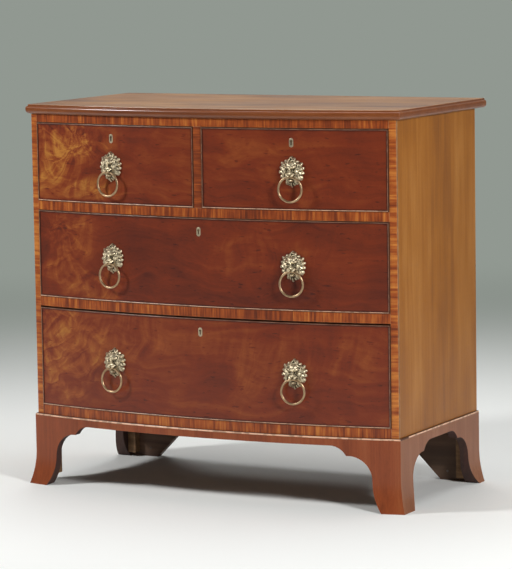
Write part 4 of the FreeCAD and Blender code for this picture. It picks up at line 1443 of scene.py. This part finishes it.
# %% Make the drawer fronts
def make_front(name, veneer):
    left, right, low, high = drawer_sizes(name)
    b, g = BEAD_WIDE, GROOVE_SIDE

    def is_wood(x, y, z):
        depth = y - CORNER_Y
        rebate = min(x - left, right - x, z - low, high - z) < b and depth < BEAD_DEEP
        groove = (min(x - left, right - x) > g and depth > GROOVE_START
                  and low + GROOVE_HIGH < z < low + GROOVE_HIGH + GROOVE_THICK)
        return not (rebate or groove)

    depths = [0.0, VENEER, BEAD_DEEP, GROOVE_START, FRONT_THICK]
    levels = [low, low + b, low + GROOVE_HIGH, low + GROOVE_HIGH + GROOVE_THICK, high - b, high]
    bm = bmesh.new()
    blocks(bm, spread([left, left + b, left + g, right - g, right - b, right]),
           [CORNER_Y + depth for depth in depths], levels, is_wood)
    front = bevel(as_object(bm, "drawer_%s_veneered_front" % name), FRONT_ARRIS)
    tool = front_tool(name)
    bend_to_bow(front, PINE, veneer, tool, veneer=FRONT_VENEER)
    finished(front, "drawer_%s_front" % name, slot="flame_mahogany", on_bow=True)
    bpy.data.objects.remove(tool)
    return front


for name, *figure in FLAMES:
    left, right, low, high = drawer_sizes(name)
    veneer = flame("flame_" + name, ((left + right) / 2, (low + high) / 2),
                   ((right - left) / 2, (high - low) / 2), *figure)
    made = make_front(name, veneer)
    print(made.name, len(made.data.polygons), "faces")

# %% [markdown]
# ## Cockbeads
#
# Round each drawer front runs a thin bead of solid wood, proud of the veneer, to guard its edge.
# Four strips are mitred at the corners. The front edge of the bead is a half round, and it is the
# first place that hands and cloths wear pale. Its crest is also painted pale as a highlight,
# brightest along the lowest strip.

# %% Make the cockbeads
NOSE_STEPS, NOSE_RISE, UPRIGHT_PART = 8, 1.4 * MM, 0.125


def cockbead_section():
    """(from the outer edge, depth behind the drawer front) round the strip."""
    nose = [(BEAD_WIDE / 2 * (1 - math.cos(angle)),
             NOSE_RISE - BEAD_PROUD - NOSE_RISE * math.sin(angle))
            for angle in even(0, math.pi, NOSE_STEPS)]
    return [(0.0, BEAD_DEEP)] + nose + [(BEAD_WIDE, BEAD_DEEP)]


def make_cockbeads(name):
    left, right, low, high = drawer_sizes(name)
    section = cockbead_section()

    def mitred(first, last, w, share):
        start, end = first + w + MITRE_GAP, last - w - MITRE_GAP
        return start + share * (end - start)

    def level_point(share, w, depth):
        return mitred(left, right, w, share), CORNER_Y + depth, edge + way * w

    def upright_point(share, w, depth):
        return edge + way * w, CORNER_Y + depth, mitred(low, high, w, share)

    rows = []
    for edge, way in ((low, 1), (high, -1)):
        rows.append(swept(section, spread([0.0, 1.0], SEGMENT / (right - left)), level_point))
    for edge, way in ((left, 1), (right, -1)):
        rows.append(swept(section, spread([0.0, 1.0], UPRIGHT_PART), upright_point))
    strips = skinned("drawer_%s_cockbead_strips" % name, rows)
    bend_to_bow(strips, BEAD_WOOD, BEAD_WOOD)
    finished(strips, "drawer_%s_cockbead" % name, slot="cockbead_wood", on_bow=True)
    # the crests of the strips are painted pale: wear and a painted highlight
    mark_crest(strips)
    return strips


for name in DRAWERS:
    print(name, "cockbead:", len(make_cockbeads(name).data.polygons), "faces")

# %% [markdown]
# ## Keyhole plates
#
# Each lock has an oval brass plate let into the veneer. Its rim is rubbed round and stands a
# little proud; inside it the face lies slightly lower and holds more dirt, and the keyhole goes
# through. All its outlines have the same number of points at the same angles, so one closed skin
# makes the whole plate, hole included.

# %% Make the keyhole plates
# (inset of the plate's outline or growth of the keyhole's, depth behind the top of the rim)
RIM = ((0.35 * MM, 0.0), (1.35 * MM, 0.0), (1.75 * MM, 0.22 * MM))
THROAT = ((0.5 * MM, 0.24 * MM), (0.1 * MM, 0.45 * MM), (0.0, 0.7 * MM))
FACE_DIRT = 0.15


def make_plate(name):
    place = front_place(drawer_middle(name), drawer_sizes(name)[3] - KEY_DROP)
    back, front = PLATE_THICK - PLATE_PROUD, -PLATE_PROUD
    rings = [(plate_outline(), back), (plate_outline(), 0.0), (plate_outline(0.08 * MM), front * 0.6)]
    rings += [(plate_outline(inset), front + depth) for inset, depth in RIM]
    rings += [(keyhole_outline(grow), front + depth) for grow, depth in THROAT]
    rings.append((keyhole_outline(), back))
    plate = skinned("drawer_%s_keyhole_plate" % name,
                    [[loop_at(place, outline, y) for outline, y in rings]], closed=True)
    finished(plate, "drawer_%s_escutcheon" % name, BRASS, slot="brass", angle=50, worn=0)
    values = np.zeros(len(plate.data.vertices), np.float32)
    values[5 * HOLE_POINTS:7 * HOLE_POINTS] = FACE_DIRT
    values[7 * HOLE_POINTS:] = 1.0
    plate.data.attributes.new("hollow", "FLOAT", "POINT").data.foreach_set("value", values)
    return plate


for name in DRAWERS:
    print(make_plate(name).name)

# %% [markdown]
# ## Lion masks
#
# Each handle is a cast lion's head with a ring in its mouth. A casting has few undercuts, so the
# head is nearly a relief: over every point of the outline stands one height. That makes it a matter
# of sums. Round lumps give brow, nose and jaw, a wave that runs outward gives the locks of the
# mane, and a soft maximum melts them together as wax would. Only the upper lip hangs over the
# ring, so it is drawn down afterwards. Sculpting by hand would give a livelier face, but numbers
# can be changed and the six heads stay alike.

# %% Lumps that melt together
RING_OUT, RING_DROP, RING_RADIUS = 14.0, 11.0, 26.4
RING_ROOM, RING_BEHIND = 3.0, 9.4


def melt(one, other, soft=0.9):
    """The greater of two heights, with a soft corner where they meet."""
    share = np.clip(0.5 + 0.5 * (one - other) / soft, 0, 1)
    return other * (1 - share) + one * share + soft * share * (1 - share)


def oval(x, z, at, size, turn):
    """Squared distance from at, counted in half widths and half heights of a turned oval."""
    cos, sin = math.cos(turn), math.sin(turn)
    across = ((x - at[0]) * cos + (z - at[1]) * sin) / size[0]
    up = ((z - at[1]) * cos - (x - at[0]) * sin) / size[1]
    return across ** 2 + up ** 2


def lump(x, z, at, size, base, rise, turn=0.0):
    """A rounded lump whose foot is at base; outside it the height keeps falling."""
    return base + rise * (1 - oval(x, z, at, size, turn))


def dent(x, z, at, size, depth, turn=0.0):
    """What to take off for a soft hollow."""
    return depth * np.exp(-oval(x, z, at, size, turn))


# locks to each side, inner and outer radius, height at root and tip, fullness, lean of a lock
MANE = [(8.2, 13.0, 31.5, 6.0, 2.4, 2.4, 0.45),
        (7.2, 11.0, 25.0, 8.2, 5.6, 2.6, -0.55),
        (6.3, 8.5, 19.5, 10.4, 8.8, 2.2, 0.45)]
MANE_MIDDLE = 2.0


def mane(x, z):
    """Three tiers of pointed locks, each a little turned, with fine strands along them."""
    angle = np.arctan2(x, z - MANE_MIDDLE) / math.pi
    away = np.hypot(x, (z - MANE_MIDDLE) * 0.95)
    height = np.full_like(x, 1.0)
    for number, (count, inner, outer, root, tip, full, lean) in enumerate(MANE):
        along = (away - inner) / (outer - inner)
        place = angle * count + lean * np.clip(along, 0, 1.2) * (0.6 + 0.4 * along) + 0.25 * number
        lock = np.round(place)
        side = place - lock
        reach = 1.0 + 0.09 * np.sin(lock * 2.4 + number)
        taper = np.clip(along / reach, 0, 1)
        half = 0.53 * (1 - 0.62 * taper ** 3.2)
        ridge = np.maximum(1 - (side / half) ** 2, -0.3)
        strands = 0.28 * np.cos(side / half * 2.5 * math.pi) * np.clip(ridge, 0, 1)
        swell = root + (tip - root) * taper + full * ridge * (1 - 0.35 * taper) + strands
        swell = np.where(along < 0, root + full * ridge + along * 8, swell)
        swell = np.where(along > reach, tip + full * ridge - (along - reach) * 40, swell)
        height = melt(height, swell, 1.1)
    return height


print("the mane has", sum(2 * int(tier[0]) for tier in MANE), "locks or so")

# %% [markdown]
# The head is the mane with the parts of the face melted into it one after another, and with
# hollows and fine lines taken off. Everything that comes in pairs is computed from the distance to
# the middle line, so both sides match.

# %% The head
def ring_room(x):
    """Radius about the hinge line that the ring needs free at x."""
    return RING_ROOM + (RING_RADIUS - np.sqrt(np.clip(RING_RADIUS ** 2 - x ** 2, 0, None)))


def head(x, z):
    """Height of the relief at x, z in millimetres from the middle of the mask."""
    side = np.abs(x)
    height = mane(x, z)
    for at, size, base, rise in (
            ((0, 5.0), (13.0, 15.0), 7.0, 7.0),              # skull
            ((0, 13.0), (9.5, 6.8), 12.0, 4.8),              # forehead
            ((0, 30.6), (2.9, 2.6), 3.4, 4.4),               # tip of the crest
            ((0, 4.5), (3.6, 10.5), 12.5, 6.8),              # bridge of the nose
            ((0, -1.6), (5.2, 3.3), 15.5, 6.2),              # tip of the nose
            ((0, -18.2), (6.4, 4.3), 8.5, 7.4),              # lower jaw
            ((0, -27.0), (2.9, 7.2), 2.0, 6.4)):             # middle of the beard
        height = melt(height, lump(x, z, at, size, base, rise))
    for at, size, base, rise, turn in (
            ((3.9, 26.0), (2.3, 6.6), 4.6, 4.6, 0.62),       # the crest's two strands
            ((14.6, 15.2), (3.9, 3.6), 8.0, 4.2, 0.5),       # ears
            ((5.8, 10.2), (7.2, 3.9), 13.4, 5.4, 0.30),      # brows
            ((12.2, 1.0), (5.8, 7.0), 8.2, 6.0, 0.2),        # cheeks
            ((4.9, -4.7), (5.9, 4.4), 12.8, 8.0, -0.15),     # whisker pads
            ((12.8, -9.5), (3.4, 7.4), 5.6, 3.6, 0.25),      # locks beside the mouth
            ((18.2, -13.0), (3.4, 7.6), 3.4, 4.2, 0.5),
            ((4.6, -25.2), (2.3, 5.8), 2.0, 5.0, 0.28),      # sides of the beard
            ((10.4, -23.4), (3.3, 4.8), 1.8, 5.0, 0.35)):
        height = melt(height, lump(side, z, at, size, base, rise, turn))
    for at, size, depth, turn in (
            ((0, 25.6), (1.9, 2.8), 3.0, 0.0),               # between the crest's strands
            ((14.8, 14.6), (1.7, 1.5), 2.4, 0.0),            # insides of the ears
            ((6.4, 4.6), (3.0, 1.7), 3.6, 0.15)):            # eye sockets
        height = height - dent(side, z, at, size, depth, turn)
    # eyes with the line between their lids, then nostrils
    eye = lump(side, z, (6.3, 4.8), (2.5, 1.7), 9.0, 3.9, 0.12)
    height = melt(height, eye - 0.5 * np.exp(-((z - 4.7) / 0.35) ** 2), 0.3)
    height = height - dent(side, z, (2.2, -3.3), (1.15, 0.85), 2.6)
    # the groove up the forehead and the one under the nose
    height = height - 0.7 * np.exp(-(x / 0.8) ** 2) * np.clip((z - 7) / 4, 0, 1) * (z < 20)
    height = height - 1.9 * np.exp(-(x / 0.7) ** 2) * np.clip((-3.0 - z) / 1.5, 0, 1) * (z > -9)
    for row, z_row in enumerate((-3.6, -5.2, -6.6)):         # roots of the whiskers
        for spot in range(3):
            at = (4.0 + 1.7 * spot - 0.3 * row, z_row)
            height = height - dent(side, z, at, (0.42, 0.42), 0.7)
    beard = np.clip((-20.0 - z) / 3, 0, 1)
    height = height - 0.45 * beard * (1 + np.cos(side * 3.6 + z * 0.25))
    # the open mouth, a round channel for the ring
    room = ring_room(side)
    slot = RING_OUT - np.sqrt(np.clip(room ** 2 - (z + RING_DROP) ** 2, 0, None))
    in_slot = (np.abs(z + RING_DROP) < room) & (side < 15)
    height = np.where(in_slot, np.minimum(height, slot), height)
    return np.where((side >= 12) & (z < -6), np.minimum(height, RING_BEHIND), height)


print("the tip of the nose stands %.1f mm out" % head(np.zeros(1), np.full(1, -1.6))[0])

# %% [markdown]
# The rim of the casting follows the tips of the locks, the crest and the beard. It is the outside
# of a heap of discs: along each ray from the middle, the farthest disc counts.

# %% The rim of a mask
# (distance to the side, height, radius) of the discs of crest, beard and cheek locks
RIM_DISCS = ((0, 28.4, 4.4), (0, 30.9, 2.5), (4.6, 24.6, 4.2), (0, -27.0, 4.4), (0, -31.6, 2.1),
             (5.2, -26.5, 3.4), (10.6, -24.0, 3.9), (20.0, -15.5, 3.6))


def far_side(angle, middle, radius):
    """How far a ray from the middle of the mask goes before it leaves a circle."""
    along = middle[0] * np.cos(angle) + middle[1] * np.sin(angle)
    inside = radius ** 2 - middle[0] ** 2 - middle[1] ** 2 + along ** 2
    return np.where(inside > 0, along + np.sqrt(np.clip(inside, 0, None)), 0)


def mask_outline(angle):
    """The rim: tips of the locks, crest, curls and beard, as a union of discs."""
    rim = far_side(angle, (0, 1), 23.6)
    count, lean = MANE[0][0], MANE[0][6]
    for lock in range(-7, 8):
        turned = (lock - lean * 0.95) / count * math.pi
        reach = 1.0 + 0.05 * math.sin(lock * 2.4)
        if abs(turned) > 2.45:
            continue
        for share, radius in ((0.83, 4.5), (0.89, 3.9), (0.93, 3.1)):
            away = (29.0 - 2.2 * abs(math.cos(turned))) * share * reach
            spot = (away * math.sin(turned), MANE_MIDDLE + away * math.cos(turned))
            rim = np.maximum(rim, far_side(angle, spot, radius))
    for side, z, radius in RIM_DISCS:
        for x in (-side, side):
            rim = np.maximum(rim, far_side(angle, (x, z), radius))
    return rim


print("the rim lies %.1f mm out at the crest" % mask_outline(np.full(1, math.pi / 2))[0])

# %% [markdown]
# The upper lip has to hang over the ring, which one height for each place can't do. So the points
# of the lip are drawn down, those that come too near the ring's wire are pushed out to a fixed
# distance from it, and where the relief jumps from lip to mouth the jump is led round the wire.

# %% The lip and the ring's wire
LIP_DROP, LIP_ROWS = 3.7, 7
JUMP, BEND_POINTS = 0.8, 13


def lip(x, height, z):
    """Brings the upper lip down before the ring, and keeps its underside clear of the ring."""
    proud = np.clip((height - 14.0) / 4.0, 0, 1)
    low = np.clip((1.0 - z) / 6.0, 0, 1) * (z > -9.6)
    drop = LIP_DROP * proud * low * np.exp(-(x / 10.5) ** 4)
    z = z - drop
    room = ring_room(x)
    reach = np.hypot(height - RING_OUT, z + RING_DROP)
    push = np.where((drop > 0) & (reach < room), room / np.maximum(reach, 0.1), 1.0)
    return RING_OUT + (height - RING_OUT) * push, -RING_DROP + (z + RING_DROP) * push


def polar(out, z):
    """Angle and distance about the hinge line of the ring."""
    return np.arctan2(z + RING_DROP, out - RING_OUT), np.hypot(z + RING_DROP, out - RING_OUT)


def round_the_ring(x, out, z):
    """Where a spoke jumps from the lip into the mouth, leads it round the ring's wire instead."""
    room = ring_room(x)
    half_way = polar((out[1:] + out[:-1]) / 2, (z[1:] + z[:-1]) / 2)[1]
    jump = ((np.abs(np.diff(out, axis=0)) > JUMP) & (half_way < room[1:] - 0.02)
            & (np.abs(x[1:]) < 12) & (z[1:] > -RING_DROP))
    rows, spokes = jump.argmax(axis=0), np.flatnonzero(jump.any(axis=0))
    first, end = rows[spokes].min() - LIP_ROWS, rows[spokes].max() + 3
    bend = np.linspace(0, 1, BEND_POINTS + 2)[1:-1]
    for spoke in spokes:
        row = rows[spoke]
        angle, away = polar(out[row:row + 2, spoke], z[row:row + 2, spoke])
        angle, away = [ends[0] + bend * (ends[1] - ends[0]) for ends in (angle, away)]
        away = np.maximum(away, room[row, spoke] + 0.15 * np.sin(bend * math.pi))
        round_wire = (x[row, spoke] + bend * (x[row + 1, spoke] - x[row, spoke]),
                      RING_OUT + away * np.cos(angle), away * np.sin(angle) - RING_DROP)
        path = [np.concatenate((line[first:row + 1, spoke], bent, line[row + 1:end + 1, spoke]))
                for line, bent in zip((x, out, z), round_wire)]
        length = np.append(0, np.cumsum(np.sqrt(sum(np.diff(line) ** 2 for line in path))))
        stops = np.linspace(0, length[-1], end - first + 1)
        for line, along in zip((x, out, z), path):
            line[first:end + 1, spoke] = np.interp(stops, length, along)
    return x, out, z


print("the ring keeps %.1f mm about its hinge line free" % ring_room(np.zeros(1))[0])

# %% [markdown]
# The mesh is a web: spokes from the middle to the rim, crossed by rings. How hollow a place is,
# for the dirt, is how far it lies under its neighbourhood. The highest parts of the face are
# polished clean whatever their shape.

# %% Mesh of a mask
RINGS, SPOKES = 96, 232
EDGE_THICK = 1.3
CLEAN_FROM, CLEAN_OVER, FACE_POLISH = 11.0, 5.0, 0.75
NEARBY = (0.9, 1.9)


def mask_points():
    """Rings of points (x, out, z) in millimetres, and how hollow each place is."""
    angle = np.linspace(0, 2 * math.pi, SPOKES, endpoint=False) + math.pi / 2
    rim = mask_outline(angle)
    share = np.linspace(0, 1, RINGS + 1)[1:, None] ** 0.92
    x, z = share * rim * np.cos(angle), share * rim * np.sin(angle)
    height = head(x, z)
    nearby = np.zeros_like(height)
    offsets = [(r * math.cos(a), r * math.sin(a)) for r in NEARBY
               for a in np.linspace(0, 2 * math.pi, 8, endpoint=False)]
    for dx, dz in offsets:
        nearby += head(x + dx, z + dz) / len(offsets)
    polished_clean = 1 - FACE_POLISH * np.clip((height - CLEAN_FROM) / CLEAN_OVER, 0, 1)
    hollow = np.clip((nearby - height) * 1.05 + 0.08, 0, 1) * polished_clean
    edge = np.clip(1 - share ** 14, 0, 1)
    height = np.maximum(EDGE_THICK, EDGE_THICK + (height - EDGE_THICK) * edge)
    height, z = lip(x, height, z)
    x, height, z = round_the_ring(x, height, z)
    return x, height, z, hollow


def add_mask(bm, hollow_layer, place, grid):
    x, height, z, hollow = grid
    rings = []
    for ring in range(RINGS):
        row = []
        for spoke in range(SPOKES):
            vertex = bm.verts.new(place @ Vector((x[ring, spoke] * MM, -height[ring, spoke] * MM,
                                                  z[ring, spoke] * MM)))
            vertex[hollow_layer] = float(hollow[ring, spoke])
            row.append(vertex)
        rings.append(row)
    rings.append([bm.verts.new(place @ Vector((a * MM, 0, b * MM))) for a, b in zip(x[-1], z[-1])])
    middle = bm.verts.new(place @ Vector((0, -float(head(np.zeros(1), np.zeros(1))[0]) * MM, 0)))
    back = bm.verts.new(place @ Vector((0, 0, 0)))
    for spoke in range(SPOKES):
        after = (spoke + 1) % SPOKES
        bm.faces.new((middle, rings[0][spoke], rings[0][after]))
        bm.faces.new((back, rings[-1][after], rings[-1][spoke]))
        for ring in range(RINGS):
            bm.faces.new((rings[ring][spoke], rings[ring + 1][spoke],
                          rings[ring + 1][after], rings[ring][after]))


MASK_GRID = mask_points()
print("a mask has", MASK_GRID[0].size, "points and is %.1f mm deep" % MASK_GRID[1].max())

# %% [markdown]
# Behind the mask a threaded post goes through the drawer front to a nut. The thread is a circle
# whose bulge turns as the circle moves along, which is all that a thread is.

# %% Posts, nuts and the finished masks
POST_RADIUS, POST_LENGTH = 2.5, 28.0
THREAD_START, THREAD_PITCH, THREAD_DEPTH = 13.0, 1.1, 0.35
NUT_CORNER, NUT_START, NUT_HEIGHT, NUT_CHAMFER = 4.5, 22.05, 4.0, 0.45
POST_SIDES, NUT_SIDES, THREAD_ROOM = 20, 36, 0.02


def add_post(bm, place):
    loops = []
    depths = [-1.0, 0.5, THREAD_START - 0.5]
    depths += list(np.arange(THREAD_START, POST_LENGTH - 1.2, THREAD_PITCH / 6))
    depths += [POST_LENGTH - 1.0]

    def away(angle):
        cut = 0.0
        if THREAD_START <= depth < POST_LENGTH - THREAD_PITCH:
            turn = math.cos(angle - 2 * math.pi * depth / THREAD_PITCH)
            cut = THREAD_DEPTH * (0.5 + 0.5 * turn)
        return (POST_RADIUS - THREAD_ROOM - cut) * MM

    for depth in depths:
        loops.append(loop_at(place, around(away, POST_SIDES), depth * MM))
    skin(bm, loops)


def add_nut(bm, place):
    """A six sided nut with its corners turned down at both faces."""
    loops = []
    end = NUT_START + NUT_HEIGHT

    def away(angle):
        side = (angle % (math.pi / 3)) - math.pi / 6
        radius = NUT_CORNER * math.cos(math.pi / 6) / math.cos(side)
        return min(radius, NUT_CORNER * flat + 0.05 * (flat - 0.8)) * MM

    for depth, flat in ((NUT_START, 0.90), (NUT_START + NUT_CHAMFER, 1.0),
                        (end - NUT_CHAMFER, 1.0), (end, 0.88)):
        loops.append(loop_at(place, around(away, NUT_SIDES), depth * MM))
    for depth in (end - 0.2, NUT_START):
        bore = circle((POST_RADIUS + THREAD_ROOM) * MM, NUT_SIDES)
        loops.append(loop_at(place, bore, depth * MM))
    skin(bm, loops, closed=True)


def make_masks(name):
    bm = bmesh.new()
    hollow_layer = bm.verts.layers.float.new("hollow")
    for x in handle_xs(name):
        place = front_place(x, MASK_Z[name])
        add_mask(bm, hollow_layer, place, MASK_GRID)
        add_post(bm, place)
        add_nut(bm, place)
    masks = as_object(bm, "drawer_%s_lion_masks" % name)
    return finished(masks, "drawer_%s_masks" % name, BRASS, slot="brass", angle=60, worn=0)


for name in DRAWERS:
    print(name, "masks:", len(make_masks(name).data.polygons), "faces")

# %% [markdown]
# ## Screws and nails
#
# Screws and nails come in rows, so a second Geometry Nodes tree sets them. It is given bare points
# and the way they face. On every point it stands one head, turned by chance about its own axis and
# a little larger or smaller than the next; a slotted head has its slot cut before it is copied.
# The seed is fixed, so the same screws are crooked every time.

# %% The tree that sets heads
def heads_tree():
    setter = Tree("set_heads", "Heads", Geometry=["Points"], Float=["Head radius", "Head height"],
                  Bool=["Slotted"], Vector=["Facing"], Int=["Seed"], Material=["Metal"])
    node, vector, given = setter.node, setter.vector, setter.given
    radius, height = given["Head radius"], given["Head height"]

    def chance(low, high, turn):
        """The float sockets of Random Value are numbers 2 and 3, its float output number 1."""
        return node("FunctionNodeRandomValue", {"data_type": "FLOAT"},
                    {2: low, 3: high, "Seed": given["Seed"] + turn}, output=1)

    def turn_to(angles):
        return node("FunctionNodeEulerToRotation", None, {0: angles})

    head = node("GeometryNodeMeshCone", None, {"Vertices": 20, "Radius Top": radius * 0.72,
                                               "Radius Bottom": radius, "Depth": height})
    slot = node("GeometryNodeMeshCube", None,
                {"Size": vector(radius * 3.0, radius * 0.24, height * 0.9)})
    slot = node("GeometryNodeTransform", None,
                {"Geometry": slot, "Translation": vector(0.0, 0.0, height)})
    shaped = setter.cut_if(given["Slotted"], head, slot)
    points = node("GeometryNodeMeshToPoints", None, {"Mesh": given["Points"]})
    spin = turn_to(vector(0.0, 0.0, chance(0.0, 2 * math.pi, 1)))
    turned = node("FunctionNodeRotateRotation", {"rotation_space": "LOCAL"},
                  {0: turn_to(given["Facing"]), 1: spin})
    heads = node("GeometryNodeInstanceOnPoints", None,
                 {"Points": points, "Instance": shaped, "Rotation": turned,
                  "Scale": chance(0.92, 1.06, 2)})
    setter.feed(setter.end, {0: setter.made_real(heads, given["Metal"])})
    return setter


HEADS_TREE = heads_tree()
print("the heads tree has", len(HEADS_TREE.tree.nodes), "nodes")

# %% [markdown]
# A group of heads is a mesh of loose points that carries the tree. It belongs to the body of the
# piece it holds, so the screws of a lock travel with the drawer. Every head stands half in the
# wood or metal beneath it.

# %% Set the screws and nails
# (radius, height) of the heads, and places in millimetres
SCREW, NAIL, BRACKET_NAIL = (2.6, 1.0), (2.2, 1.1), (3.0, 1.2)
LOCK_BACK, LOCK_SCREWS = 22.5, [(-25.5, -6.5), (25.5, -6.5), (-25.5, -36.0), (25.5, -36.0)]
SIDE_NAILS, NAIL_IN, NAIL_UP, NAIL_DOWN = 10, 8 * MM, 19 * MM, 9 * MM
LEVEL_NAILS = (-300, -150, 0, 150, 300)
BRACKET_PLACES = ((385, 20), (352, 118), (300, 140))


def set_heads(name, points, facing, size, slotted, metal, held, seed):
    mesh = bpy.data.meshes.new(name)
    mesh.from_pydata([tuple(point) for point in points], [], [])
    heads = place_object(name, mesh)
    mesh.materials.append(metal)
    HEADS_TREE.set_on(heads, {"Head radius": size[0] * MM, "Head height": size[1] * MM,
                              "Slotted": slotted, "Facing": tuple(facing), "Seed": seed,
                              "Metal": metal})
    plain(heads)
    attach(heads, BODY_OF[held])
    print(name, len(heads.data.polygons), "faces")
    return heads


INWARD = Matrix.Rotation(-math.pi / 2, 4, "X")
for number, name in enumerate(DRAWERS):
    left, right, low, high = drawer_sizes(name)
    place = front_place((left + right) / 2, high)
    points = [place @ Vector((x * MM, (LOCK_BACK - SCREW[1] / 2) * MM, z * MM))
              for x, z in LOCK_SCREWS]
    set_heads("drawer_%s_lock_screws" % name, points, (place @ INWARD).to_euler(), SCREW, True,
              LOCK_IRON, "drawer_%s_lock" % name, number)

board_low, board_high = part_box("back_boards")
nail_y = board_high.y - NAIL[1] / 2 * MM
points = []
for row in range(SIDE_NAILS):
    z = board_low.z + (row + 0.5) * (board_high.z - board_low.z) / SIDE_NAILS
    points += [(x, nail_y, z) for x in (board_low.x + NAIL_IN, board_high.x - NAIL_IN)]
for z in (board_low.z + NAIL_UP, board_high.z - NAIL_DOWN):
    points += [(x * MM, nail_y, z) for x in LEVEL_NAILS]
set_heads("back_nails", points, INWARD.to_euler(), NAIL, False, NAIL_IRON, "back_boards", 11)

nail_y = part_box("rear_brackets")[0].y + NAIL[1] / 2 * MM
points = [(way * x * MM, nail_y, z * MM) for way in (-1, 1) for x, z in BRACKET_PLACES]
set_heads("bracket_nails", points, INWARD.inverted().to_euler(), BRACKET_NAIL, False, NAIL_IRON,
          "rear_brackets", 12)

# %% [markdown]
# ## The pieces that stay as the frame has them
#
# Rings, locks and bolts are simple turned or cut metal, and the frame's own shapes are right.
# They only get their metal.

# %% Metal on the frame's own pieces
for name, piece in frame["nodes"].items():
    if piece.hide_render:
        continue
    metal = LOCK_IRON if "lock" in name else RING_BRASS if "ring" in name else BRASS
    for material_slot in piece.material_slots:
        material_slot.material = metal
print("metal is on")

# %% [markdown]
# ## Sizes
#
# The dressed chest has to be exactly as large as the frame.
